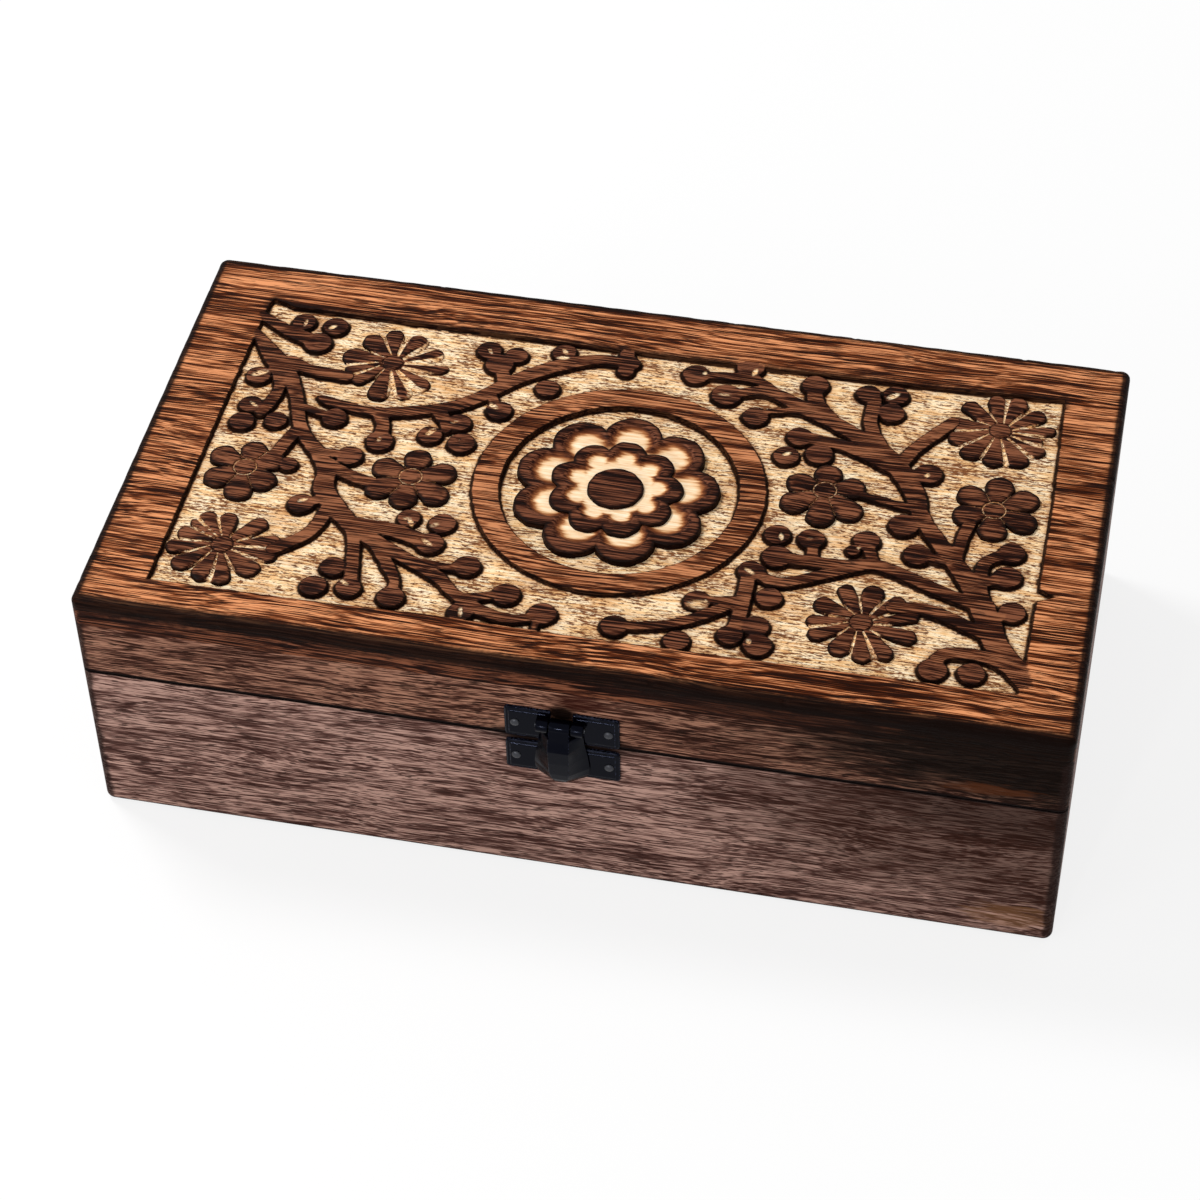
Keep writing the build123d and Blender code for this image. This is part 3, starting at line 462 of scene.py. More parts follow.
@dataclass
class SnappedGrid:
    """A grid whose points beside an outline are moved onto the top and the foot of its wall.

    A point is moved along the slope of the distance by the difference between the distance it has
    and the one it should have. Each cell is cut along the diagonal that leaves no triangle across
    the outline but those of the wall.
    """

    field: DistanceField
    wall_top: float = 0.10
    wall_foot: float = 0.24
    shoulder: float = 0.5
    longest_move: float = 0.62
    least_slope: float = 0.6

    def __post_init__(self) -> None:
        """Moves the points and cuts the cells."""
        distance = self.field.distance
        self.inside = distance < 0
        self.rim = self.inside & beside(~self.inside)
        self.foot = ~self.inside & beside(self.inside)
        second = self.inside & ~self.rim & beside(self.rim)
        target = np.where(self.rim, -self.wall_top, distance)
        target = np.where(self.foot, self.wall_foot, target)
        target = np.where(second, -self.shoulder, target)
        slope_x, slope_y = np.gradient(distance, self.field.columns, self.field.rows)
        steep = np.maximum(np.hypot(slope_x, slope_y), self.least_slope)
        move = np.clip(target - distance, -self.longest_move, self.longest_move)
        self.x = self.field.x + slope_x / steep * move
        self.y = self.field.y + slope_y / steep * move
        self.distance = distance + move

    def triangles(self) -> Array:
        """Rows of three grid numbers that turn anticlockwise seen from above.

        Returns:
            One row for each triangle, two to a cell.
        """
        a, b, c, d = cell_corners(np.arange(self.x.size).reshape(self.x.shape))
        side, x, y = self.inside.ravel(), self.x.ravel(), self.y.ravel()
        from_a_to_c = np.hypot(x[a] - x[c], y[a] - y[c])
        from_b_to_d = np.hypot(x[b] - x[d], y[b] - y[d])
        odd_b_or_d = (side[a] == side[c]) & (side[b] != side[d])
        odd_a_or_c = (side[b] == side[d]) & (side[a] != side[c])
        along_ac = (odd_b_or_d | ((from_a_to_c <= from_b_to_d) & ~odd_a_or_c))[..., None]
        first = np.where(along_ac, np.stack([a, b, c], -1), np.stack([a, b, d], -1))
        last = np.where(along_ac, np.stack([a, c, d], -1), np.stack([b, c, d], -1))
        return np.concatenate([first.reshape(-1, 3), last.reshape(-1, 3)])

    def raised_triangles(self) -> Array:
        """Only those triangles that have a corner inside an outline."""
        triangles = self.triangles()
        return triangles[self.inside.ravel()[triangles].any(1)]


@dataclass
class Solid:
    """Vertices in metres, triangles and named values at the vertices."""

    vertices: Array
    triangles: Array
    values: Values

    def plus(self, other: "Solid") -> "Solid":
        """Both solids as one mesh.

        Args:
            other: A solid with the same named values.

        Returns:
            The joined solid.
        """
        shift = len(self.vertices)
        values = {name: np.concatenate([self.values[name], other.values[name]]) for name in self.values}
        return Solid(
            np.vstack([self.vertices, other.vertices]),
            np.vstack([self.triangles, other.triangles + shift]),
            values,
        )

    def piece(self, name: str, material: Material, sharp_degrees: float = 38) -> Object:
        """Makes the mesh object, smooth but for edges sharper than the angle.

        Args:
            name: The object's name.
            material: The piece's material.
            sharp_degrees: Edges that turn by more than this stay sharp.

        Returns:
            The object.
        """
        mesh = bpy.data.meshes.new(name)
        count = len(self.triangles)
        mesh.vertices.add(len(self.vertices))
        mesh.vertices.foreach_set("co", self.vertices.astype(np.float32).ravel())
        mesh.loops.add(count * 3)
        mesh.loops.foreach_set("vertex_index", self.triangles.astype(np.int32).ravel())
        mesh.polygons.add(count)
        mesh.polygons.foreach_set("loop_start", np.arange(count, dtype=np.int32) * 3)
        mesh.polygons.foreach_set("loop_total", np.full(count, 3, np.int32))
        mesh.polygons.foreach_set("use_smooth", np.ones(count, bool))
        for value_name, value in self.values.items():
            layer = mesh.attributes.new(value_name, "FLOAT", "POINT")
            layer.data.foreach_set("value", value.astype(np.float32))
        mesh.update(calc_edges=True)
        mesh.validate()
        mesh.set_sharp_from_angle(angle=math.radians(sharp_degrees))
        mesh.materials.append(material)
        made = bpy.data.objects.new(name, mesh)
        bpy.context.scene.collection.objects.link(made)
        log.info("%s: %d triangles", name, len(mesh.polygons))
        return made


def closed_solid(top: Array, bottom: Array, triangles: Array, values: Values) -> Solid:
    """Closes two sheets that share their triangles with a skirt round every open edge.

    Args:
        top: Vertices of the upper sheet.
        bottom: Vertices of the lower sheet, one for each of the upper.
        triangles: Triangles of the upper sheet, anticlockwise from above.
        values: Named values of the vertices, used for both sheets.

    Returns:
        The closed solid.
    """
    used, flat = np.unique(triangles, return_inverse=True)
    upper = flat.reshape(-1, 3)
    count = len(used)
    edges = np.concatenate([upper[:, [0, 1]], upper[:, [1, 2]], upper[:, [2, 0]]])
    codes = edges[:, 0] * count + edges[:, 1]
    open_edges = edges[~np.isin(edges[:, 1] * count + edges[:, 0], codes)]
    i, j = open_edges[:, 0], open_edges[:, 1]
    skirt = np.concatenate([np.stack([j, i, i + count], -1), np.stack([j, i + count, j + count], -1)])
    lower = upper[:, ::-1] + count
    doubled = {name: np.tile(value.ravel()[used], 2) for name, value in values.items()}
    return Solid(np.vstack([top[used], bottom[used]]), np.vstack([upper, lower, skirt]), doubled)


def on_board(x: Array, y: Array, z: Array) -> Array:
    """Rows of points in metres from sheet millimetres and a height under or over the lid's top.

    Args:
        x: Places along X.
        y: Places along Y.
        z: Heights over the lid's top in millimetres, negative under it.

    Returns:
        Rows of x, y and z.
    """
    across = LID_MIDDLE.x + (x - SHEET_MIDDLE[0]) * SHEET_SCALE * MM
    back = LID_MIDDLE.y + (y - SHEET_MIDDLE[1]) * SHEET_SCALE * MM
    return np.stack([across, back, LID_HIGH.z + z * MM], -1).reshape(-1, 3)


class Nodes:
    """Builds a shader tree with few words."""

    def __init__(self, tree: NodeTree) -> None:
        """Starts on an empty tree."""
        self.tree = tree
        tree.nodes.clear()

    def add(self, kind: str, inputs: dict | None = None, **settings: object) -> Node:
        """Adds a node.

        Args:
            kind: The node's type without its ShaderNode prefix.
            inputs: A socket to link or a value to set, by input name or number.
            settings: The node's own properties.

        Returns:
            The node.
        """
        node = self.tree.nodes.new("ShaderNode" + kind)
        for name, value in settings.items():
            setattr(node, name, value)
        return self.fill(node, inputs or {})

    def fill(self, node: Node, inputs: dict) -> Node:
        """Links or sets a node's inputs.

        Args:
            node: The node.
            inputs: A socket to link or a value to set, by input name or number.

        Returns:
            The same node.
        """
        for key, value in inputs.items():
            if isinstance(value, NodeSocket):
                self.tree.links.new(value, node.inputs[key])
            else:
                node.inputs[key].default_value = value
        return node

    def sum(self, operation: str, *values: object) -> NodeSocket:
        """A Math node's result."""
        return self.add("Math", dict(enumerate(values)), operation=operation).outputs[0]

    def stretch(self, vector: NodeSocket, scale: Place) -> NodeSocket:
        """The vector with each axis multiplied."""
        return self.add("VectorMath", {0: vector, 1: scale}, operation="MULTIPLY").outputs[0]

    def noise(self, vector: NodeSocket, detail: float = 2.0, roughness: float = 0.5) -> NodeSocket:
        """A Noise Texture's value, with one patch to each unit of the vector."""
        return self.add("TexNoise", {"Vector": vector, "Scale": 1.0, "Detail": detail,
                                     "Roughness": roughness}).outputs[0]

    def streaks(self, place: NodeSocket, along: float, across: float, detail: float = 2.0) -> NodeSocket:
        """Noise with so many patches to a millimetre along X, and so many across it."""
        return self.noise(self.stretch(place, (along, across, across)), detail)

    def step(self, value: object, low: float, high: float, start: float = 0.0,
             end: float = 1.0) -> NodeSocket:
        """A smooth step from start below low to end above high."""
        node = self.add("MapRange", {"Value": value, "From Min": low, "From Max": high,
                                     "To Min": start, "To Max": end}, interpolation_type="SMOOTHSTEP")
        return node.outputs[0]

    def mix(self, factor: object, first: object, second: object) -> NodeSocket:
        """A mix of two colours."""
        return self.add("Mix", {0: factor, 6: first, 7: second}, data_type="RGBA").outputs[2]

    def ramp(self, factor: NodeSocket, stops: Stops) -> NodeSocket:
        """A Color Ramp through the given stops.

        Args:
            factor: Where the colour is looked up.
            stops: Places and colours in order.

        Returns:
            The colour.
        """
        node = self.add("ValToRGB", {0: factor})
        elements = node.color_ramp.elements
        elements[0].position, elements[0].color = stops[0]
        elements[1].position, elements[1].color = stops[-1]
        for position, colour in stops[1:-1]:
            elements.new(position).color = colour
        return node.outputs[0]


@dataclass(frozen=True)
class GroupShape:
    """The name and sockets of a shader node group that several finishes share.

    An input without a default is a vector. The other inputs and all outputs are floats.
    """

    name: str
    inputs: dict[str, float | None]
    outputs: tuple[str, ...]

    def start(self) -> tuple[Nodes, Node, Node]:
        """Makes the empty group.

        Returns:
            The tree's builder, its input node and its output node.
        """
        tree = bpy.data.node_groups.new(self.name, "ShaderNodeTree")
        for name, default in self.inputs.items():
            kind = "NodeSocketVector" if default is None else "NodeSocketFloat"
            socket = tree.interface.new_socket(name=name, in_out="INPUT", socket_type=kind)
            if default is not None:
                socket.default_value = default
        for name in self.outputs:
            tree.interface.new_socket(name=name, in_out="OUTPUT", socket_type="NodeSocketFloat")
        nodes = Nodes(tree)
        given = tree.nodes.new("NodeGroupInput")
        result = tree.nodes.new("NodeGroupOutput")
        return nodes, given, result


GRAIN = GroupShape(
    "wood_grain",
    {"Vector": None, "Length": 9.0, "Width": 0.55, "Wave": 2.5, "Pore Length": 2.6, "Pore Width": 0.2},
    ("Tone", "Bands", "Pores", "Height"),
)
SCORCH = GroupShape(
    "scorch",
    {"Vector": None, "Mask": 0.0, "Patch Size": 3.0, "Break Up": 0.5},
    ("Factor",),
)
SPECKS = GroupShape(
    "chips_and_glint_specks",
    {"Vector": None, "Edge": 0.0, "Size": 0.5, "Amount": 0.4},
    ("ChipsAndGlint", "Smudge"),
)


def build_grain_group() -> None:
    """Wood grain along X in millimetres: streaks at three scales and short open pores."""
    nodes, given, result = GRAIN.start()
    place = given.outputs["Vector"]
    sway = nodes.streaks(place, 1 / 55, 1 / 18, 1.0)
    shift = nodes.sum("MULTIPLY", nodes.sum("SUBTRACT", sway, 0.5), given.outputs["Wave"])
    ways = nodes.add("SeparateXYZ", {0: place})
    across = nodes.sum("ADD", ways.outputs[1], shift)
    upward = nodes.sum("ADD", ways.outputs[2], shift)

    def stretched(length: object, width: object) -> NodeSocket:
        """The place with its length along the grain and its width across it divided out."""
        return nodes.add("CombineXYZ", {
            0: nodes.sum("DIVIDE", ways.outputs[0], length),
            1: nodes.sum("DIVIDE", across, width),
            2: nodes.sum("DIVIDE", upward, width),
        }).outputs[0]

    def scaled(by_length: float, by_width: float) -> NodeSocket:
        """The stretched place with the given length and width multiplied first."""
        return stretched(nodes.sum("MULTIPLY", given.outputs["Length"], by_length),
                         nodes.sum("MULTIPLY", given.outputs["Width"], by_width))

    streaks = nodes.noise(scaled(1.0, 1.0), 1.0)
    fine = nodes.noise(scaled(0.45, 0.45), 1.0)
    bands = nodes.noise(scaled(3.0, 7.0))
    pores = nodes.noise(stretched(given.outputs["Pore Length"], given.outputs["Pore Width"]), 1.0)
    crowd = nodes.streaks(place, 1 / 14, 1 / 5, 1.0)
    crowding, streak_share, fine_share, band_share = 0.25, 0.40, 0.34, 0.26
    pore_mask = nodes.step(nodes.sum("MULTIPLY_ADD", crowd, crowding, pores), 0.70, 0.78)
    level = nodes.sum("MULTIPLY_ADD", streaks, streak_share, nodes.sum("MULTIPLY", fine, fine_share))
    tone = nodes.step(nodes.sum("MULTIPLY_ADD", bands, band_share, level), 0.42, 0.58)
    height = nodes.sum("SUBTRACT", nodes.sum("MULTIPLY", tone, 0.5), pore_mask)
    for name, socket in {"Tone": tone, "Bands": bands, "Pores": pore_mask, "Height": height}.items():
        nodes.tree.links.new(socket, result.inputs[name])


def build_scorch_group() -> None:
    """A burn or wear mask with a ragged edge: the mask less noise, stepped."""
    nodes, given, result = SCORCH.start()
    size = nodes.add("CombineXYZ", {i: given.outputs["Patch Size"] for i in range(3)}).outputs[0]
    place = nodes.add("VectorMath", {0: given.outputs["Vector"], 1: size}, operation="DIVIDE").outputs[0]
    rough = nodes.sum("SUBTRACT", nodes.noise(place, 4.0, 0.65), 0.5)
    ragged = nodes.sum("MULTIPLY_ADD", rough, given.outputs["Break Up"], given.outputs["Mask"])
    nodes.tree.links.new(nodes.step(ragged, 0.18, 0.62), result.inputs["Factor"])


def build_specks_group() -> None:
    """Small bright chips, more of them at edges, and soft smudges for the gloss. Along the tongue's ridge the
    specks are a painted highlight.
    """
    nodes, given, result = SPECKS.start()
    size = nodes.add("CombineXYZ", {i: given.outputs["Size"] for i in range(3)}).outputs[0]
    place = nodes.add("VectorMath", {0: given.outputs["Vector"], 1: size}, operation="DIVIDE").outputs[0]
    chips = nodes.noise(place, 3.0, 0.7)
    level = nodes.sum("MULTIPLY_ADD", given.outputs["Edge"], given.outputs["Amount"], chips)
    smudge = nodes.streaks(place, 0.12, 0.12, 3.0)
    nodes.tree.links.new(nodes.step(level, 0.72, 0.86), result.inputs["ChipsAndGlint"])
    nodes.tree.links.new(smudge, result.inputs["Smudge"])


def place_group(nodes: Nodes, shape: GroupShape, inputs: dict) -> Node:
    """Places a shared group with its own values.

    Args:
        nodes: The material's builder.
        shape: The group.
        inputs: A socket or a value by input name.

    Returns:
        The group's node.
    """
    node = nodes.tree.nodes.new("ShaderNodeGroup")
    node.node_tree = bpy.data.node_groups[shape.name]
    return nodes.fill(node, inputs)


def start_material(name: str) -> tuple[Material, Nodes, NodeSocket]:
    """A new material.

    Args:
        name: The material's name.

    Returns:
        The material, its builder and the place in millimetres.
    """
    material = bpy.data.materials.new(name)
    material.use_nodes = True
    nodes = Nodes(material.node_tree)
    per_metre = round(1 / MM)
    metres = nodes.add("TexCoord").outputs["Object"]
    return material, nodes, nodes.stretch(metres, (per_metre, per_metre, per_metre))


def finish_material(nodes: Nodes, colour: object, roughness: object, height: object, bump: float,
                    bump_distance: float, **others: object) -> None:
    """Adds the surface shader, its bump and the output.

    Args:
        nodes: The material's builder.
        colour: Base colour.
        roughness: Roughness value or socket.
        height: What the bump follows.
        bump: The bump's strength.
        bump_distance: The bump's depth in metres.
        others: Other inputs of the shader, values or sockets, with underscores for spaces.
    """
    lift = nodes.add("Bump", {"Strength": bump, "Distance": bump_distance, "Height": height})
    inputs = {"Base Color": colour, "Roughness": roughness, "Normal": lift.outputs[0]}
    inputs |= {name.replace("_", " "): value for name, value in others.items()}
    shader = nodes.add("BsdfPrincipled", inputs)
    nodes.add("OutputMaterial", {"Surface": shader.outputs[0]})


@dataclass(frozen=True)
class StainAndShadowPatch:
    """A knot, stain or scorch on a board, or a painted shadow: its middle and its half sizes in millimetres,
    and its colour.
    """

    middle: Place
    size: Place
    colour: Colour
    strength: float = 1.0
    ragged: float = 0.9

    def lay(self, nodes: Nodes, place: NodeSocket, under: object) -> NodeSocket:
        """Lays the patch over a colour, fading by the distance in half sizes.

        Args:
            nodes: The material's builder.
            place: The place in millimetres.
            under: The colour so far.

        Returns:
            The colour with the patch on it.
        """
        moved = nodes.add("VectorMath", {0: place, 1: self.middle}, operation="SUBTRACT").outputs[0]
        share = nodes.add("VectorMath", {0: moved, 1: self.size}, operation="DIVIDE").outputs[0]
        away = nodes.add("VectorMath", {0: share}, operation="LENGTH").outputs["Value"]
        noise = nodes.sum("SUBTRACT", nodes.streaks(place, 0.12, 0.8, 3.0), 0.5)
        edge = nodes.sum("MULTIPLY_ADD", noise, self.ragged, away)
        return nodes.mix(nodes.step(edge, 0.5, 1.1, self.strength, 0.0), under, self.colour)


@dataclass(frozen=True)
class BoardFinish:
    """Open-grained stained wood for the boards of the box.

    The skin, the lip and what is burnt are millimetres from the outside, the seam or the floor.
    """

    name: str
    dark: Colour
    middle: Colour
    light: Colour
    pore: Colour
    offset: Place = (0.0, 0.0, 0.0)
    grain_along_y: bool = False
    tilt_degrees: float = 1.5
    streak_length: float = 11.0
    streak_width: float = 0.5
    pore_length: float = 4.2
    pore_width: float = 0.42
    wave: float = 6.0
    roughness: float = 0.5
    gloss: float = 0.025
    coat: float = 0.0
    edge_burn: float = 0.0
    burnt_end: float = 4.5
    burnt_face: float = 4.0
    burnt_hem: Point = (0.4, 2.6)
    outer_skin: Point = (1.2, 0.3)
    seam_lip: Point = (0.45, 0.85)
    scorched: Colour = srgb(30, 17, 14)
    seam_black: Colour = srgb(12, 5, 4)
    stain_and_shadow_patches: tuple[StainAndShadowPatch, ...] = ()

    def build(self) -> Material:
        """Makes the material.

        Returns:
            The material.
        """
        material, nodes, place = start_material(self.name)
        turn = math.radians(90 if self.grain_along_y else 0)
        tilt = math.radians(self.tilt_degrees)
        grain_place = nodes.add("Mapping", {"Vector": place, "Location": self.offset,
                                            "Rotation": (0.0, tilt, turn)}).outputs[0]
        grain = place_group(nodes, GRAIN, {
            "Vector": grain_place, "Length": self.streak_length, "Width": self.streak_width,
            "Wave": self.wave, "Pore Length": self.pore_length, "Pore Width": self.pore_width})
        colour = nodes.ramp(grain.outputs["Tone"], ((0.0, self.dark), (0.5, self.middle), (1.0, self.light)))
        colour = nodes.mix(nodes.sum("MULTIPLY", grain.outputs["Pores"], 0.85), colour, self.pore)
        for stain_and_shadow_patch in self.stain_and_shadow_patches:
            colour = stain_and_shadow_patch.lay(nodes, place, colour)
        if self.edge_burn:
            colour = self.burn_edges(nodes, place, colour)
        rough = nodes.step(grain.outputs["Tone"], 0.0, 1.0, self.roughness + 0.1, self.roughness - 0.06)
        finish_material(nodes, colour, rough, grain.outputs["Height"], 0.55, 0.00025,
                        Specular_IOR_Level=self.gloss, Coat_Weight=self.coat, Coat_Roughness=0.3)
        return material

    def burn_edges(self, nodes: Nodes, place: NodeSocket, under: object) -> NodeSocket:
        """Darkens the upright corners and the lowest edge, where the boards are worn and burnt.

        Args:
            nodes: The material's builder.
            place: The place in millimetres.
            under: The colour so far.

        Returns:
            The colour with its edges burnt.
        """
        ways = nodes.add("SeparateXYZ", {0: place})
        halves = (LID_HIGH.x / MM, LID_HIGH.y / MM)

        def near(way: int, start: float, stop: float = 0.0) -> NodeSocket:
            """A step up towards the box's outside: from start to stop millimetres inside it."""
            away = nodes.sum("ABSOLUTE", ways.outputs[way])
            return nodes.step(away, halves[way] - start, halves[way] - stop)

        end, face = near(0, self.burnt_end), near(1, self.burnt_face)
        hem = nodes.step(ways.outputs[2], *self.burnt_hem, 1.0, 0.0)
        from_seam = nodes.sum("ABSOLUTE", nodes.sum("SUBTRACT", ways.outputs[2], SEAM_HEIGHT))
        outside = nodes.sum("MAXIMUM", near(0, *self.outer_skin), near(1, *self.outer_skin))
        lips = nodes.sum("MULTIPLY", outside, nodes.step(from_seam, *self.seam_lip, 1.0, 0.0))
        mask = nodes.sum("MAXIMUM", nodes.sum("MULTIPLY", end, face), hem)
        scorch = place_group(nodes, SCORCH, {"Vector": place, "Mask": mask, "Patch Size": 4.0,
                                             "Break Up": 0.9})
        amount = nodes.sum("MULTIPLY", scorch.outputs[0], self.edge_burn)
        return nodes.mix(lips, nodes.mix(amount, under, self.scorched), self.seam_black)


@dataclass(frozen=True)
class CarvedFinish:
    """Stained tops, burnt edges and walls, and the raw pale ground of the carving.

    The mesh gives three values: burn at edges and walls, raw where the stain was cut away, and
    tone for how dark the top was stained. The rosette's tone lies above rosette_tone and the
    berries' below it, so only the rosette's bowls fade instead of showing tool marks.
    """

    name: str = "carved_wood"
    roughness: float = 0.45
    raw_roughness: float = 0.8
    gloss: float = 0.025
    row_pitch: float = 1.3
    row_strength: float = 0.035
    row_bend: float = 14.0
    rosette_tone: Point = (0.975, 0.985)
    bright_stain: Stops = ((0.0, srgb(34, 11, 3)), (0.28, srgb(84, 37, 14)), (0.62, srgb(140, 77, 42)),
                           (1.0, srgb(222, 148, 100)))
    deep_stain: Stops = ((0.0, srgb(18, 5, 3)), (0.5, srgb(60, 28, 17)), (1.0, srgb(120, 72, 50)))
    pore: Colour = srgb(26, 12, 9)
    bowl: Stops = ((0.08, srgb(62, 29, 16)), (0.3, srgb(104, 56, 32)), (0.5, srgb(168, 108, 66)),
                   (0.68, srgb(232, 186, 138)), (0.84, srgb(250, 218, 178)), (0.98, srgb(255, 238, 210)))
    cream: Stops = ((0.36, srgb(230, 178, 120)), (0.48, srgb(250, 213, 163)), (0.62, srgb(255, 235, 200)))
    ochre: Colour = srgb(206, 146, 92)
    wall_ochre: Colour = srgb(168, 104, 58)
    long_dash: Colour = srgb(88, 46, 24)
    short_dash: Colour = srgb(142, 88, 52)
    soot: Colour = srgb(14, 5, 3)
    stain_and_shadow_patches: tuple[StainAndShadowPatch, ...] = ()

    def build(self) -> Material:
        """Makes the material.

        Returns:
            The material.
        """
        material, nodes, place = start_material(self.name)
        burn, raw, tone = (nodes.add("Attribute", attribute_name=name).outputs["Fac"]
                           for name in ("burn", "raw", "tone"))
        grain = place_group(nodes, GRAIN, {"Vector": place, "Length": 30.0, "Width": 0.62, "Wave": 5.0,
                                           "Pore Length": 6.0, "Pore Width": 0.3})
        colour = nodes.mix(tone, self.stained(nodes, grain, self.bright_stain),
                           self.stained(nodes, grain, self.deep_stain))
        for stain_and_shadow_patch in self.stain_and_shadow_patches:
            colour = stain_and_shadow_patch.lay(nodes, place, colour)
        along = nodes.stretch(place, (0.25, 1.0, 1.0))
        raw_edge = place_group(nodes, SCORCH, {"Vector": along, "Mask": raw, "Patch Size": 0.9,
                                               "Break Up": 0.2})
        ground = nodes.mix(raw_edge.outputs[0], colour, self.raw_wood(nodes, place, burn))
        bowls = nodes.mix(nodes.step(raw, 0.02, 0.3), colour, self.fresh_cut(nodes, place, raw))
        is_rosette = nodes.step(tone, *self.rosette_tone)
        colour = nodes.mix(is_rosette, ground, bowls)
        soot = place_group(nodes, SCORCH, {"Vector": place, "Mask": burn, "Patch Size": 2.2, "Break Up": 0.4})
        colour = nodes.mix(nodes.sum("MULTIPLY", soot.outputs[0], 0.93), colour, self.soot)
        rough = nodes.step(raw, 0.3, 0.7, self.roughness, self.raw_roughness)
        finish_material(nodes, colour, rough, grain.outputs["Height"], 0.5, 0.00022,
                        Specular_IOR_Level=self.gloss)
        return material

    def stained(self, nodes: Nodes, grain: Node, stain: Stops) -> NodeSocket:
        """The stained top: orange brown, or the deeper brown of vines, flowers and the board's sides."""
        colour = nodes.ramp(grain.outputs["Tone"], stain)
        return nodes.mix(nodes.sum("MULTIPLY", grain.outputs["Pores"], 0.8), colour, self.pore)

    def fresh_cut(self, nodes: Nodes, place: NodeSocket, raw: NodeSocket) -> NodeSocket:
        """The rosette's bowls: cream that fades through orange brown to the stain, streaked along X.

        Args:
            nodes: The material's builder.
            place: The place in millimetres.
            raw: How fresh the cut is, from 0 to 1.

        Returns:
            The bowls' colour.
        """
        streaks = nodes.streaks(place, 0.12, 1.3)
        fine = nodes.streaks(place, 0.3, 3.4)
        both = nodes.sum("SUBTRACT", nodes.sum("MULTIPLY_ADD", fine, 0.5, streaks), 0.75)
        level = nodes.sum("MULTIPLY_ADD", both, 0.6, nodes.sum("MULTIPLY", raw, 0.84))
        return nodes.ramp(level, self.bowl)

    def raw_wood(self, nodes: Nodes, place: NodeSocket, burn: NodeSocket) -> NodeSocket:
        """Cream ground with ochre patches, ochre beside the walls, and brown tool dashes in bent rows.

        The dashes are a noise drawn out along X, stepped. A sine of Y, shifted by a soft noise, is
        added to it first, so that more of them reach the step on each row.

        Args:
            nodes: The material's builder.
            place: The place in millimetres.
            burn: How burnt the surface is, from 0 to 1.

        Returns:
            The ground's colour.
        """
        cream = nodes.ramp(nodes.streaks(place, 0.16, 1.5, 3.0), self.cream)
        patches = nodes.step(nodes.streaks(place, 0.09, 0.12, 3.0), 0.5, 0.66, 0.0, 0.4)
        cream = nodes.mix(patches, cream, self.ochre)
        cream = nodes.mix(nodes.step(burn, 0.04, 0.34, 0.0, 0.6), cream, self.wall_ochre)
        crowd = nodes.streaks(place, 0.11, 0.2)
        bend = nodes.sum("MULTIPLY", nodes.streaks(place, 0.06, 0.1, 1.0), self.row_bend)
        upward = nodes.add("SeparateXYZ", {0: place}).outputs[1]
        rows = nodes.sum("SINE", nodes.sum("MULTIPLY_ADD", upward, 2 * math.pi / self.row_pitch, bend))
        strokes = (((0.5, 2.2, 2.2), 0.95, self.long_dash), ((0.9, 3.8, 3.8), 0.7, self.short_dash))
        for size, share, colour in strokes:
            dashes = nodes.noise(nodes.stretch(place, size), 2.0, 0.6)
            level = nodes.sum("MULTIPLY_ADD", crowd, 0.4, dashes)
            level = nodes.sum("MULTIPLY_ADD", rows, self.row_strength, level)
            cream = nodes.mix(nodes.step(level, 0.735, 0.79, 0.0, share), cream, colour)
        return cream


@dataclass(frozen=True)
class SteelFinish:
    """Lacquered or bare dark steel. The mesh may give the value edge, which adds pale specks: at the plates'
    edges and along their rim, and along the tongue's ridge as a painted highlight.
    """

    name: str
    colour: Colour
    chip_and_glint: Colour
    roughness: float
    metallic: float = 0.0
    gloss: float = 0.5
    chips: float = 0.25
    tint: Colour = srgb(255, 255, 255)

    def build(self) -> Material:
        """Makes the material.

        Returns:
            The material.
        """
        material, nodes, place = start_material(self.name)
        edge = nodes.add("Attribute", attribute_name="edge").outputs["Fac"]
        # pale specks: chips, and along the tongue's ridge edges a painted highlight
        worn = place_group(nodes, SPECKS, {"Vector": place, "Edge": edge, "Size": 0.45, "Amount": self.chips})
        colour = nodes.mix(worn.outputs["ChipsAndGlint"], self.colour, self.chip_and_glint)
        rough = nodes.step(worn.outputs["Smudge"], 0.3, 0.7, self.roughness - 0.05, self.roughness + 0.12)
        finish_material(nodes, colour, rough, worn.outputs["Smudge"], 0.12, 0.0001, Metallic=self.metallic,
                        Specular_IOR_Level=self.gloss, Specular_Tint=self.tint)
        return material


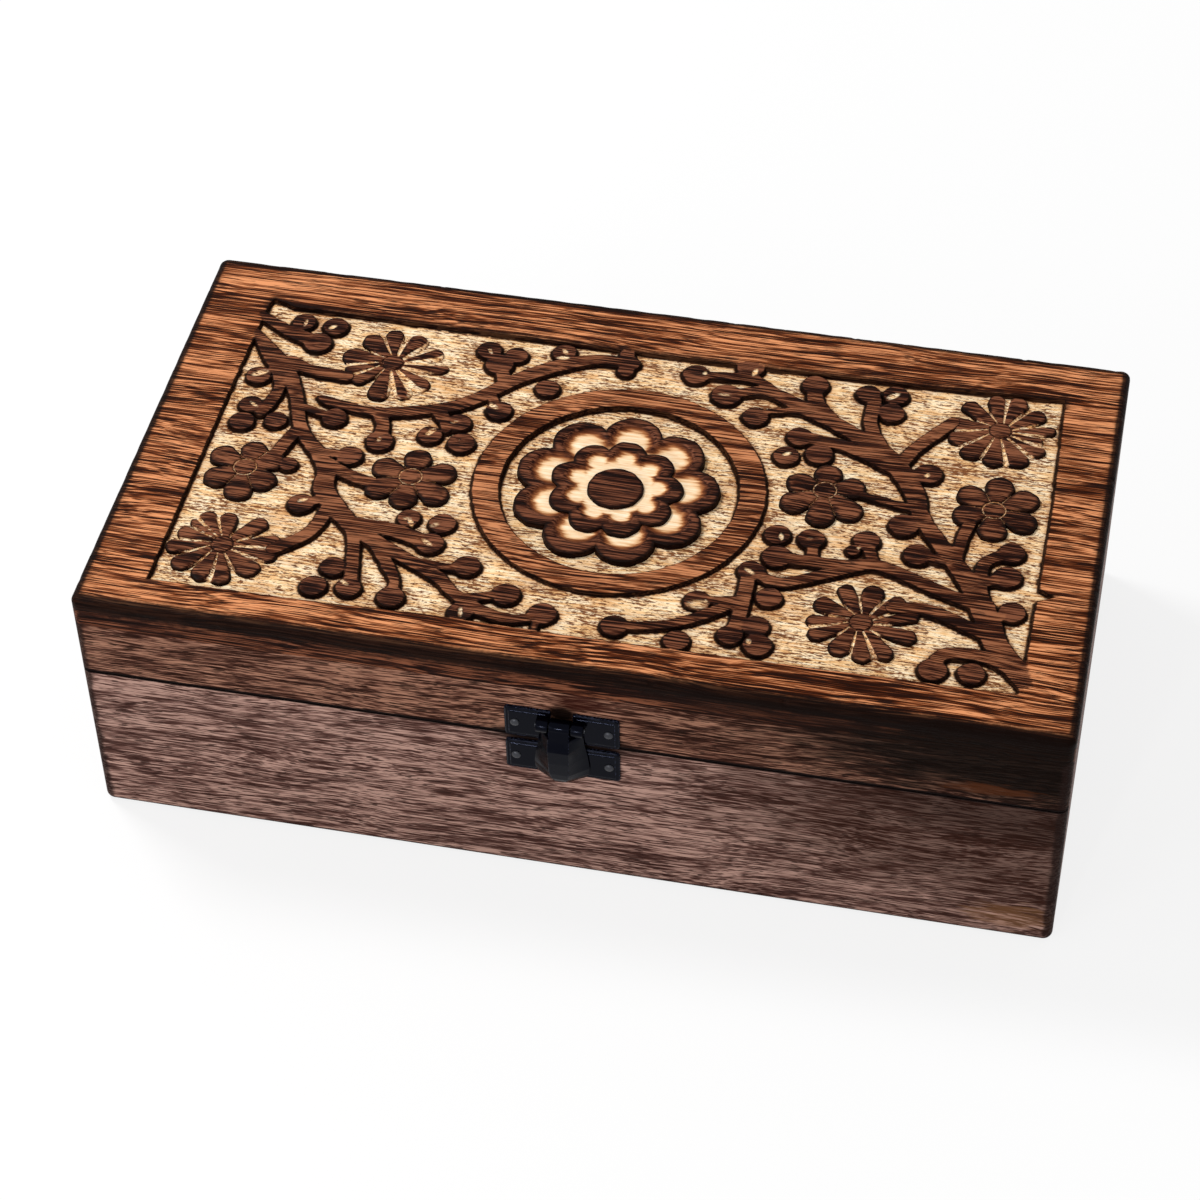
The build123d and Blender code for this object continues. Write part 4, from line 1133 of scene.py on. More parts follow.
@dataclass
class CarvedLid:
    """The lid's top board, cut from one piece: border, sunk ground, ring, vines and berries.

    Each burn is how strong it is and how wide it fades, in millimetres. The inner one lies round
    the field, and grows by the back one over the back rows.
    """

    pitch: float = 0.61
    border_pitch: float = 1.7
    fine_columns: Point = (16.0, 247.6)
    fine_rows: Point = (6.8, 121.2)
    edge_round: float = 1.5
    corner_radius: float = 2.5
    carving_lowering: float = 0.06
    blend: float = 0.25
    ring_blend: float = 0.3
    burn_width: float = 0.22
    side_burn: Point = (0.75, 1.1)
    front_burn: Point = (0.95, 1.7)
    inner_burn: Point = (0.28, 1.2)
    back_burn: Point = (0.3, 1.6)
    back_rows: Point = (112, 118)
    nick_depth: float = 0.5
    edge_wear: float = 0.16

    def grid_lines(self, low: float, high: float, field_low: float, field_high: float) -> Array:
        """Lines across the board: close at its edges, wide on the border and close in the field.

        Args:
            low: The board's first edge.
            high: Its last edge.
            field_low: Where the close lines start.
            field_high: Where the close lines end.

        Returns:
            The lines' places in order.
        """
        first, last = low + self.corner_radius, high - self.corner_radius
        stretches = [
            (low + self.edge_round, first, 4),
            (first, field_low, round((field_low - first) / self.border_pitch)),
            (field_low, field_high, round((field_high - field_low) / self.pitch)),
            (field_high, last, round((last - field_high) / self.border_pitch)),
            (last, high - self.edge_round, 4),
        ]
        parts = [np.linspace(start, end, count, endpoint=False) for start, end, count in stretches]
        return np.concatenate([*parts, [high - self.edge_round]])

    def field(self) -> DistanceField:
        """Border, ring, vines and berries as one raised shape.

        Returns:
            Its distances and tones.
        """
        columns = self.grid_lines(SHEET_LOW[0], SHEET_HIGH[0], *self.fine_columns)
        rows = self.grid_lines(SHEET_LOW[1], SHEET_HIGH[1], *self.fine_rows)
        field = DistanceField(columns, rows)
        whole = (slice(None), slice(None))
        field.join(whole, -polygon_distance(field.x, field.y, FIELD_OUTLINE), self.blend, Tone.BORDER)
        ring = np.abs(self.from_ring(field) - RING_RADIUS) - (RING_OUTER - RING_INNER) / 2
        field.join(whole, ring, self.ring_blend, Tone.RING)
        for stem in STEMS:
            field.add_stem(stem, self.blend)
        for berry in BERRIES:
            field.add_round(*berry, self.blend, Tone.BERRY)
        field.add_wobble(0.09, 5.0, 1)
        return field

    def from_ring(self, place: "DistanceField | SnappedGrid") -> Array:
        """Distance from the ring's middle."""
        return np.hypot(place.x - RING_MIDDLE[0], place.y - RING_MIDDLE[1])

    def ground(self, grid: SnappedGrid) -> Array:
        """The sunk ground: deeper inside the ring, with long shallow tool marks along the board.

        Args:
            grid: The snapped grid.

        Returns:
            Heights over the lid's top, all negative.
        """
        inside_ring = smooth_step(-0.5, 0.5, RING_RADIUS - self.from_ring(grid))
        depth = RELIEF_DEPTH + (RING_FLOOR_DEPTH - RELIEF_DEPTH) * inside_ring
        marks = 0.06 * ripple(grid.x * 0.3, grid.y, 2.2, 3) + 0.03 * ripple(grid.x, grid.y, 9.0, 2)
        return marks - depth

    def edge_burn(self, grid: SnappedGrid) -> Array:
        """Burning at the board's own edges, widest at the front, and round the field.

        Args:
            grid: The snapped grid.

        Returns:
            How burnt each point is, from 0 to 1.
        """
        sides = np.minimum(grid.x - SHEET_LOW[0], SHEET_HIGH[0] - grid.x)
        front = grid.y - SHEET_LOW[1]
        back = SHEET_HIGH[1] - grid.y
        outer = np.maximum(*(heat * np.exp(-(away - self.edge_round) / width) for away, (heat, width) in (
            (np.minimum(sides, back), self.side_burn), (front, self.front_burn))))
        on_border = self.field_share(grid)
        behind = smooth_step(*self.back_rows, grid.y)
        heat, width = (least + more * behind for least, more in zip(self.inner_burn, self.back_burn))
        inner = on_border * heat * np.exp(np.minimum(grid.distance, 0) / width)
        return np.maximum(outer, inner)

    def field_share(self, grid: SnappedGrid) -> Array:
        """One on the border and none in the field."""
        return (grid.field.tone == Tone.BORDER.value).astype(float)

    def solid(self) -> Solid:
        """The board with its carved top, rounded edges and flat underside.

        Returns:
            The closed board.
        """
        field = self.field()
        grid = SnappedGrid(field)
        nick = np.max([cut.share(grid.x, grid.y) for cut in NICKS], axis=0)
        on_border = self.field_share(grid)
        rise = -self.carving_lowering * (1 - on_border)
        shoulder = 0.12 * np.exp(np.minimum(grid.distance, 0) / 0.2)
        top = rise - shoulder - self.nick_depth * nick + 0.02 * ripple(grid.x, grid.y, 9.0, 2)
        z = np.where(grid.inside, top, self.ground(grid))
        near_edge = np.exp(np.minimum(grid.distance, 0) / self.burn_width)
        burn_top = np.maximum(near_edge, self.edge_burn(grid))
        beyond = np.maximum(grid.distance - grid.wall_foot, 0)
        burn_ground = np.maximum(0.85 * np.exp(-beyond / 0.3), 0.3 * np.exp(-beyond / 1.3))
        burn = np.where(grid.inside, burn_top, burn_ground) * (1 - nick)
        raw = np.where(grid.inside, nick, np.where(grid.foot, 0.25, 1.0))
        return self.closed_board(grid, z, {"burn": burn, "raw": raw, "tone": field.tone})

    def core(self, x: Array, y: Array) -> tuple[Array, Array]:
        """The nearest place that lies a corner radius or more inside the board's outline."""
        inner = self.corner_radius
        return (np.clip(x, SHEET_LOW[0] + inner, SHEET_HIGH[0] - inner),
                np.clip(y, SHEET_LOW[1] + inner, SHEET_HIGH[1] - inner))

    def corner_places(self, x: Array, y: Array) -> tuple[Array, Array]:
        """Moves the grid's corner squares into quarter rounds: each square ring becomes an arc.

        Args:
            x: Places along X.
            y: Places along Y.

        Returns:
            The moved places along X and Y.
        """
        core_x, core_y = self.core(x, y)
        dx, dy = x - core_x, y - core_y
        square = np.maximum(np.abs(dx), np.abs(dy))
        share = square / np.maximum(np.hypot(dx, dy), 1e-9)
        return core_x + dx * share, core_y + dy * share

    def rim_rings(self, px: Array, py: Array) -> tuple[Array, Array]:
        """Rings round the board from its rounded edge down to its underside.

        The edge is a quarter round: out by the radius times the sine of the angle, down by the
        radius less the radius times its cosine. It is dented a little where it is worn.

        Args:
            px: Places along X of the sheet's border.
            py: Places along Y of the sheet's border.

        Returns:
            The rings' points, ring after ring, and how burnt each is.
        """
        core_x, core_y = self.core(px, py)
        size = np.hypot(px - core_x, py - core_y)
        nx, ny = (px - core_x) / size, (py - core_y) / size
        travel = np.cumsum(np.hypot(np.diff(px, prepend=px[-1]), np.diff(py, prepend=py[-1])))
        chips = np.clip(ripple(travel, 0 * travel, 3.4, 5) - 0.9, 0, 1)
        worn = 0.5 * np.clip(ripple(travel, 0 * travel, 11.0, 4), 0, 1) + chips
        points, burn = [], []
        for angle in np.radians([18, 36, 54, 72, 90]):
            dent = self.edge_wear * worn * math.sin(2 * angle)
            out = self.edge_round * math.sin(angle) - dent
            drop = -self.edge_round * (1 - math.cos(angle)) - dent
            points.append(np.stack([px + nx * out, py + ny * out, drop + 0 * px], -1))
            burn.append(np.clip(0.9 - 0.3 * chips, 0, 1))
        for drop, heat in ((2.4, 0.66), (3.4, 0.42), (5.5, 0.2), (LID_THICKNESS, 0.1)):
            points.append(np.stack([px + nx * self.edge_round, py + ny * self.edge_round, 0 * px - drop], -1))
            burn.append(heat + 0 * px)
        return np.concatenate(points), np.concatenate(burn)

    def closed_board(self, grid: SnappedGrid, z: Array, values: Values) -> Solid:
        """Adds the rounded rim, the sides and the underside to the carved sheet.

        Args:
            grid: The snapped grid.
            z: Each point's height over the lid's top.
            values: Named values of each point.

        Returns:
            The closed board.
        """
        x, y = self.corner_places(grid.x, grid.y)
        number = np.arange(x.size).reshape(x.shape)
        loop = np.concatenate([number[:-1, 0], number[-1, :-1], number[:0:-1, -1], number[0, :0:-1]])
        count = len(loop)
        rings, ring_burn = self.rim_rings(x.ravel()[loop], y.ravel()[loop])
        middle = np.array([[*SHEET_MIDDLE, -LID_THICKNESS]])
        places = np.vstack([np.stack([x.ravel(), y.ravel(), z.ravel()], -1), rings, middle])
        own = np.arange(count)
        after = np.roll(own, -1)
        upper, strips = loop, []
        for first in range(x.size, x.size + len(rings), count):
            lower = first + own
            strips.append(np.stack([upper, lower, lower[after]], -1))
            strips.append(np.stack([upper, lower[after], upper[after]], -1))
            upper = lower
        hub = np.full(count, len(places) - 1)
        strips.append(np.stack([upper, hub, upper[after]], -1))
        side = np.full(len(rings) + 1, Tone.SIDE.value)
        more = {"burn": np.append(ring_burn, 0.0), "raw": np.zeros(len(side)), "tone": side}
        joined = {name: np.concatenate([value.ravel(), more[name]]) for name, value in values.items()}
        return Solid(on_board(*places.T), np.vstack([grid.triangles(), *strips]), joined)

    def build(self, material: Material) -> None:
        """Makes the board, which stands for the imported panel.

        Args:
            material: The piece's material.
        """
        piece = self.solid().piece("carved_lid_board", material)
        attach(piece, "lid")
        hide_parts("lid_top_panel")


@dataclass
class Relief:
    """A finely cut flower that stands on the sunk ground.

    Its walls' foot and its skirt end a little under the ground, and its grid reaches a little
    beyond its outline.
    """

    name: str
    pitch: float
    relief_depth: float = RELIEF_DEPTH
    foot_sink: float = 0.15
    skirt_sink: float = 0.5
    grid_margin: float = 1.2

    def field_round(self, middle: Point, radius: float) -> DistanceField:
        """A square grid round a middle point.

        Args:
            middle: The grid's middle.
            radius: Half its side.

        Returns:
            The empty field.
        """
        count = 2 * math.ceil(radius / self.pitch)
        columns = middle[0] + np.linspace(-radius, radius, count)
        rows = middle[1] + np.linspace(-radius, radius, count)
        return DistanceField(columns, rows)

    def snapped(self, field: DistanceField, shoulder: float = 0.35) -> SnappedGrid:
        """The grid of a flower, whose walls are steeper than the board's."""
        return SnappedGrid(field, wall_top=0.06, wall_foot=0.2, shoulder=shoulder, longest_move=self.pitch)

    def solid(self, grid: SnappedGrid, cut: Array, burn: Array, raw: Array, tone: Tone) -> Solid:
        """The closed piece: its top lies cut below the lid's top, its skirt ends in the ground.

        Args:
            grid: The snapped grid.
            cut: How deep each point is cut.
            burn: How burnt each point is, from 0 to 1.
            raw: How far the stain is cut away there, from 0 to 1.
            tone: How dark the flower was stained.

        Returns:
            The closed piece.
        """
        values = {"burn": burn, "raw": raw, "tone": np.full(burn.shape, tone.value)}
        shoulder = 0.2 * np.exp(np.minimum(grid.distance, 0) / 0.35)
        z = np.where(grid.inside, -shoulder - cut, -self.relief_depth - self.foot_sink)
        top = on_board(grid.x, grid.y, z)
        bottom = on_board(grid.x, grid.y, np.full(z.shape, -self.relief_depth - self.skirt_sink))
        return closed_solid(top, bottom, grid.raised_triangles(), values)

    def place(self, solid: Solid, material: Material) -> None:
        """Makes the piece and lets it ride on the lid.

        Args:
            solid: The finished shape.
            material: The piece's material.
        """
        piece = solid.piece(self.name, material)
        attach(piece, "lid")


def two_nearest(distances: list[Array]) -> tuple[Array, Array]:
    """The nearest and the second nearest of several distances at each point."""
    ordered = np.sort(np.stack(distances), axis=0)
    return ordered[0], ordered[1]


@dataclass
class Daisy(Relief):
    """A flower of narrow petals round a small disc, with a pale cut between petals that widens outwards."""

    middle: Point = (0.0, 0.0)
    petals: tuple[StemPoint, ...] = ()
    disc_radius: float = 2.9
    petal_foot: float = 1.9
    cut_width: float = 0.72
    right_cut: float = 1.0
    curl: float = 1.0
    clearance: float = 0.12
    cut_depth: float = 0.55
    line_depth: float = 0.28
    line_width: float = 0.28
    hollow_depth: float = 0.2

    def petal_distances(self, field: DistanceField) -> list[Array]:
        """Distance to each petal: a strap that widens from the disc to a round tip and curls a little.

        Args:
            field: The distance field.

        Returns:
            One grid of distances for each petal.
        """
        found = []
        for direction, reach, tip in self.petals:
            points = []
            widths = ((0.12, self.petal_foot), (0.55, self.petal_foot + tip * 0.8), (1.0, 2 * tip))
            for share, width in widths:
                way = math.radians(direction) + self.curl * (share - 0.6) * (1 - share)
                away = share * (reach - tip)
                points.append((self.middle[0] + away * math.cos(way),
                               self.middle[1] + away * math.sin(way), width))
            found.append(strap_distance(field.x, field.y, smooth_path(points)))
        return found

    def build(self, material: Material) -> None:
        """Cuts the daisy.

        Args:
            material: The piece's material.
        """
        field = self.field_round(self.middle, max(reach for _, reach, _ in self.petals) + self.grid_margin)
        nearest, second = two_nearest(self.petal_distances(field))
        dx, dy = field.x - self.middle[0], field.y - self.middle[1]
        away = np.hypot(dx, dy)
        disc = away - self.disc_radius
        field.distance = np.minimum(nearest, disc) - self.clearance
        field.add_wobble(0.1, 3.0, 11)
        grid = self.snapped(field, shoulder=0.3)
        to_right = smooth_step(-0.2, 0.5, dx / np.maximum(away, 1))
        width = self.cut_width * (0.45 + 0.14 * np.maximum(disc, 0)) * (1 + (self.right_cut - 1) * to_right)
        between = np.exp(-((second - nearest) / width) ** 2) * smooth_step(-0.1, 0.5, disc)
        disc_line = np.exp(-(disc / self.line_width) ** 2)
        hollow = self.hollow_depth * smooth_step(1.5, 6.0, disc)
        cut = self.cut_depth * between + self.line_depth * disc_line + hollow
        burn = np.where(grid.inside, 0.9 * np.exp(grid.distance / 0.6), 0.95) * (1 - between)
        burn = np.maximum(burn, 0.6 * disc_line * (1 - between))
        raw = np.where(grid.inside, 0.95 * smooth_step(0.3, 0.75, between), 0.0)
        self.place(self.solid(grid, cut, burn, raw, Tone.FLOWER), material)


@dataclass
class SixPetalFlower(Relief):
    """A flower of six broad petals round a pip, each outlined by a fine line and burnt at its rim."""

    middle: Point = (0.0, 0.0)
    petals: tuple[Point, ...] = ()
    petal_radius: float = 3.9
    petal_foot_width: float = 5.0
    petal_foot_share: float = 0.4
    reach: float = 14.0
    pip_radius: float = 3.0
    line_width: float = 0.34
    pip_line_width: float = 0.22
    line_depth: float = 0.4
    crown_height: float = 0.14
    lowering: float = 0.1

    def build(self, material: Material) -> None:
        """Cuts the flower.

        Args:
            material: The piece's material.
        """
        field = self.field_round(self.middle, self.reach)
        found = []
        for x, y in self.petals:
            foot_x = self.middle[0] + self.petal_foot_share * (x - self.middle[0])
            foot_y = self.middle[1] + self.petal_foot_share * (y - self.middle[1])
            path = np.array([(foot_x, foot_y, self.petal_foot_width), (x, y, 2 * self.petal_radius)])
            found.append(strap_distance(field.x, field.y, path))
        nearest, second = two_nearest(found)
        pip = np.hypot(field.x - self.middle[0], field.y - self.middle[1]) - self.pip_radius
        field.distance = np.minimum(nearest, pip)
        field.add_wobble(0.1, 4.0, 12)
        grid = self.snapped(field)
        between = np.exp(-((second - nearest) / self.line_width) ** 2) * smooth_step(-0.1, 0.3, pip)
        line = np.maximum(between, np.exp(-(pip / self.pip_line_width) ** 2))
        crown = self.crown_height * smooth_step(0.0, 2.4, -nearest)
        cut = self.line_depth * line - crown + self.lowering
        burn = np.where(grid.inside, 0.85 * np.exp(grid.distance / 1.0), 0.95)
        burn = np.maximum(burn * (1 - 0.5 * line), 0.45 * np.exp(-((pip - 0.35) / 0.3) ** 2))
        raw = np.where(grid.inside, 0.66 * smooth_step(0.4, 0.9, line), 0.0)
        self.place(self.solid(grid, cut, burn, raw, Tone.FLOWER), material)


@dataclass(frozen=True)
class LobeRing:
    """A ring of lobes with a pale bowl in each.

    Reaches are from the rosette's middle to a round's far side. The bowls' floor is the disc that
    joins them, fade is how wide their edge is, scoop how deep they slope and lift how high the
    whole ring stands, all in millimetres.
    """

    reach: float
    lobe: float
    bowl_reach: float
    bowl: float
    floor: float
    fade: float
    scoop: float
    lift: float


@dataclass
class Rosette(Relief):
    """Two rings of nine lobes and a disc. Each lobe is dark at its rim and hollowed out pale within."""

    lobes: int = 9
    first_degrees: float = 88.0
    disc_radius: float = 7.4
    disc_lift: float = 0.06
    bowls_back: float = 0.8
    outer: LobeRing = LobeRing(reach=27.6, lobe=8.0, bowl_reach=24.0, bowl=6.2, floor=17.0, fade=4.2,
                               scoop=0.95, lift=0.0)
    inner: LobeRing = LobeRing(reach=18.0, lobe=5.4, bowl_reach=14.2, bowl=3.7, floor=11.4, fade=2.8,
                               scoop=0.9, lift=0.04)
    grid_margin: float = 1.5

    def rounds(self, field: DistanceField, reach: float, radius: float, floor: float,
               back: float = 0.0) -> Array:
        """Distance to rounds set in a circle, joined by a disc in their middle and moved to the back.

        Args:
            field: The distance field.
            reach: From the rosette's middle to a round's far side.
            radius: The radius of each round.
            floor: The radius of the disc.
            back: How far all of it is moved.

        Returns:
            One distance for each point.
        """
        spread = reach - radius
        middle_x, middle_y = ROSETTE_MIDDLE[0], ROSETTE_MIDDLE[1] + back
        found = np.hypot(field.x - middle_x, field.y - middle_y) - floor
        for i in range(self.lobes):
            angle = math.radians(self.first_degrees + i * 360 / self.lobes)
            x = middle_x + spread * math.cos(angle)
            y = middle_y + spread * math.sin(angle)
            found = np.minimum(found, np.hypot(field.x - x, field.y - y) - radius)
        return found

    def layer(self, ring: LobeRing, seed: int) -> Solid:
        """One ring of lobes, sloping down into its bowls, whose edge fades as a hand would leave it.

        Args:
            ring: The ring's measures.
            seed: Fixes its wobble and its streaks.

        Returns:
            The closed ring.
        """
        field = self.field_round(ROSETTE_MIDDLE, ring.reach + self.grid_margin)
        bowl = self.rounds(field, ring.bowl_reach, ring.bowl, ring.floor, self.bowls_back)
        outline = self.rounds(field, ring.reach, ring.lobe, ring.reach - ring.lobe)
        field.distance = np.minimum(outline, field.reach)
        field.add_wobble(0.1, 4.0, seed)
        grid = self.snapped(field)
        depth = -bowl + 0.3 * ripple(grid.x * 0.2, grid.y, 1.6, seed + 1)
        pale = smooth_step(-0.2 * ring.fade, 0.8 * ring.fade, depth)
        slope = ring.scoop * smooth_step(-1.2, 2.2, -bowl)
        burn = np.where(grid.inside, 0.9 * np.exp(grid.distance / 0.9) * (1 - 0.7 * pale), 0.95)
        raw = np.where(grid.inside, pale, 0.0)
        return self.solid(grid, slope - ring.lift, burn, raw, Tone.ROSETTE)

    def disc(self) -> Solid:
        """The flat disc in the middle.

        Returns:
            The closed disc.
        """
        field = self.field_round(ROSETTE_MIDDLE, self.disc_radius + self.grid_margin)
        field.add_round(*ROSETTE_MIDDLE, self.disc_radius, 0.1, Tone.ROSETTE)
        field.add_wobble(0.1, 4.0, 15)
        grid = self.snapped(field)
        burn = np.where(grid.inside, 0.8 * np.exp(grid.distance / 0.8), 0.95)
        cut = np.full(burn.shape, -self.disc_lift)
        return self.solid(grid, cut, burn, 0 * burn, Tone.ROSETTE)

    def build(self, material: Material) -> None:
        """Cuts both rings of lobes and the disc."""
        self.place(self.layer(self.outer, 21).plus(self.layer(self.inner, 24)).plus(self.disc()), material)


# Levels down the tongue: the drop below the pin, how far the ridge stands out from the pin, and
# the half widths of the ridge and of the whole tongue
TONGUE: list[tuple[float, float, float, float]] = [
    (0.0, 2.0, 2.66, 2.7), (2.0, 2.4, 2.66, 2.75), (2.7, 2.54, 2.7, 5.3), (3.4, 2.7, 2.7, 5.7),
    (5.9, 3.7, 2.7, 5.9), (10.5, 3.4, 2.6, 6.7), (15.0, 2.9, 2.5, 7.2), (17.2, 2.5, 2.0, 7.0),
    (18.6, 1.9, 1.5, 6.1), (19.5, 1.0, 1.0, 4.6), (20.0, 0.1, 0.7, 2.8),
]


@dataclass
class SnapLatch:
    """The snap latch: two plates, their nails, the hinged tongue and its knuckle.

    Sheets are worked out in millimetres across (X) and up (Z), with the height out of the wall.
    """

    pitch: float = 0.16
    plate_thickness: float = 1.0
    corner_radius: float = 1.0
    bevel: float = 0.4
    rim_width: float = 0.95
    rim_step: float = 0.22
    bevel_drop: float = 0.25
    skirt_height: float = 0.55
    panel_slope: float = 0.35
    ear_radius: float = 2.0
    ear_length: float = 3.2
    side_gap: float = 0.25
    tongue_wall: float = 0.8
    rim_gap: float = 0.5
    knuckle_half: float = 2.7
    bead_radius: float = 1.6
    bead_height: float = 1.0
    nail_half_spacing: float = 12.1
    nail_head_radius: float = 1.25
    nail_head_height: float = 0.62

    def __post_init__(self) -> None:
        """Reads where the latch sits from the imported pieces."""
        self.upper_low, self.upper_high = (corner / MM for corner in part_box("latch_upper_plate"))
        self.catch_low, self.catch_high = (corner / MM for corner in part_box("latch_catch_plate"))
        pin_low, pin_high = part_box("latch_pin")
        pin_middle = (pin_low + pin_high) / 2 / MM
        self.axis_y, self.axis_z = pin_middle.y, pin_middle.z
        self.middle_x = pin_middle.x

    def out_of_wall(self, x: Array, z: Array, height: Array) -> Array:
        """Rows of points in metres from places on the wall and a height out of it."""
        return np.stack([x * MM, (FRONT - height) * MM, z * MM], -1).reshape(-1, 3)

    def plate_field(self, low: Vector, high: Vector) -> DistanceField:
        """A rounded rectangle: the distance to the inner rectangle less the corner radius.

        Args:
            low: The plate's lower corner.
            high: Its upper corner.

        Returns:
            The distance field, whose rows run along Z.
        """
        columns = np.arange(low.x - 1, high.x + 1, self.pitch)
        rows = np.arange(low.z - 1, high.z + 1, self.pitch)
        field = DistanceField(columns, rows)
        half_x = (high.x - low.x) / 2
        half_z = (high.z - low.z) / 2
        across = np.abs(field.x - (low.x + high.x) / 2) - half_x + self.corner_radius
        upward = np.abs(field.y - (low.z + high.z) / 2) - half_z + self.corner_radius
        outside = np.hypot(np.maximum(across, 0), np.maximum(upward, 0))
        field.distance = outside + np.minimum(np.maximum(across, upward), 0) - self.corner_radius
        return field

    def plate_solid(self, field: DistanceField) -> Solid:
        """Sheet steel with a bevelled edge and a panel that is stamped up inside a narrow rim.

        Args:
            field: The distance field.

        Returns:
            The closed plate.
        """
        grid = SnappedGrid(field, wall_top=0.02, wall_foot=0.06, shoulder=self.bevel, longest_move=self.pitch)
        depth = -grid.distance
        panel = smooth_step(self.rim_width, self.rim_width + self.panel_slope, depth)
        bevel = self.bevel_drop * (1 - smooth_step(0.0, self.bevel, depth))
        face = self.plate_thickness - self.rim_step * (1 - panel) - bevel
        height = np.where(grid.inside, face, self.skirt_height)
        edge = np.exp(-((depth - self.rim_width - 0.15) / 0.2) ** 2) + np.exp(-np.maximum(depth, 0) / 0.3)
        top = self.out_of_wall(grid.x, grid.y, height)
        bottom = self.out_of_wall(grid.x, grid.y, np.zeros(height.shape))
        return closed_solid(top, bottom, grid.raised_triangles(), {"edge": np.clip(edge, 0, 1)})

    def turned(self, axis: str, start: Array, profile: list[Point], sides: int = 40) -> Solid:
        """A closed turned shape: a profile of (along, radius) carried round an axis.

        Args:
            axis: x for a bar along X, y for a head that points out of the wall.
            start: The place in millimetres that the profile's along is measured from.
            profile: Points from one pole to the other, both with radius 0.
            sides: How many sides the round has.

        Returns:
            The solid.
        """
        along, radius = np.array(profile).T
        turn = np.linspace(0, 2 * math.pi, sides, endpoint=False)
        first, second = np.outer(radius[1:-1], np.cos(turn)), np.outer(radius[1:-1], np.sin(turn))
        length = np.repeat(along[1:-1, None], sides, 1)
        body = np.stack([length, first, second], -1).reshape(-1, 3)
        poles = np.array([[along[0], 0, 0], [along[-1], 0, 0]])
        points = np.vstack([body, poles])
        if axis == "y":
            points = np.stack([points[:, 1], -points[:, 0], points[:, 2]], -1)
        vertices = (points + start) * MM
        rings = len(along) - 2
        number = np.arange(rings * sides).reshape(rings, sides)
        after = np.roll(number, -1, axis=1)
        a, b, c, d = number[:-1], after[:-1], after[1:], number[1:]
        quads = np.concatenate([np.stack([a, b, c], -1).reshape(-1, 3),
                                np.stack([a, c, d], -1).reshape(-1, 3)])
        first_pole, last_pole = rings * sides, rings * sides + 1
        cap = np.stack([np.full(sides, first_pole), after[0], number[0]], -1)
        end = np.stack([np.full(sides, last_pole), number[-1], after[-1]], -1)
        triangles = np.vstack([quads, cap, end])
        if axis == "x":
            triangles = triangles[:, ::-1]
        return Solid(vertices, triangles, {"edge": np.zeros(len(vertices))})

    def bar(self, x0: float, x1: float, radius: float) -> Solid:
        """A bar along the latch's pin with softly rounded ends.

        Args:
            x0: Its first end.
            x1: Its last end.
            radius: Its radius.

        Returns:
            The solid.
        """
        soft = 0.3
        turns = np.linspace(0, math.pi / 2, 5)
        bend = [(soft * (1 - math.cos(t)), radius - soft + soft * math.sin(t)) for t in turns]
        start = [(x0, 0.0), *[(x0 + a, r) for a, r in bend]]
        end = [*[(x1 - a, r) for a, r in reversed(bend)], (x1, 0.0)]
        return self.turned("x", np.array([0.0, self.axis_y, self.axis_z]), start + end, 72)

    def build_plates(self, material: Material) -> None:
        """Makes the upper plate with its notch and ears, and the catch plate with its bead.

        Args:
            material: The piece's material.
        """
        field = self.plate_field(self.upper_low, self.upper_high)
        notch_half = self.knuckle_half + self.side_gap
        notch_bottom = self.axis_z - self.ear_radius - self.side_gap
        notch = np.maximum(np.abs(field.x - self.middle_x) - notch_half, notch_bottom - field.y)
        field.distance = np.maximum(field.distance, -notch)
        solid = self.plate_solid(field)
        ear_end = notch_half + self.ear_length
        for x0, x1 in ((-ear_end, -notch_half), (notch_half, ear_end)):
            solid = solid.plus(self.bar(self.middle_x + x0, self.middle_x + x1, self.ear_radius))
        upper = solid.piece("latch_plate_upper", material, 30)
        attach(upper, "lid")
        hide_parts("latch_upper_plate")
        bead_z = (self.catch_low.z + self.catch_high.z) / 2
        bead = self.dome(self.middle_x, bead_z, self.bead_radius, self.bead_height)
        catch = self.plate_solid(self.plate_field(self.catch_low, self.catch_high)).plus(bead)
        catch = catch.piece("latch_plate_catch", material, 30)
        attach(catch, "base")
        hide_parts("latch_catch_plate")

    def dome(self, x: float, z: float, radius: float, height: float) -> Solid:
        """A low dome on a plate: half an ellipse turned round, with its foot sunk into the plate.

        Args:
            x: Its middle along X.
            z: Its middle along Z.
            radius: Its radius at the foot.
            height: How high it stands.

        Returns:
            The solid.
        """
        sunk = 0.3
        turns = np.linspace(0, math.pi / 2, 9)[:-1]
        curve = [(sunk + height * math.sin(t), radius * math.cos(t)) for t in turns]
        profile = [(0.0, 0.0), (0.0, radius), *curve, (sunk + height, 0.0)]
        return self.turned("y", np.array([x, FRONT - self.plate_thickness + sunk, z]), profile)

    def build_nails(self, material: Material) -> None:
        """Makes the domed heads of the four nails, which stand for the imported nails.

        Args:
            material: The piece's material.
        """
        plates = (("lid", self.upper_low, self.upper_high), ("base", self.catch_low, self.catch_high))
        for body, low, high in plates:
            z = (low.z + high.z) / 2
            left, right = (self.dome(self.middle_x + side * self.nail_half_spacing, z, self.nail_head_radius,
                                     self.nail_head_height) for side in (-1, 1))
            piece = left.plus(right).piece(f"latch_nail_heads_{body}", material, 50)
            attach(piece, body)
            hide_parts(f"latch_nails_{body}")

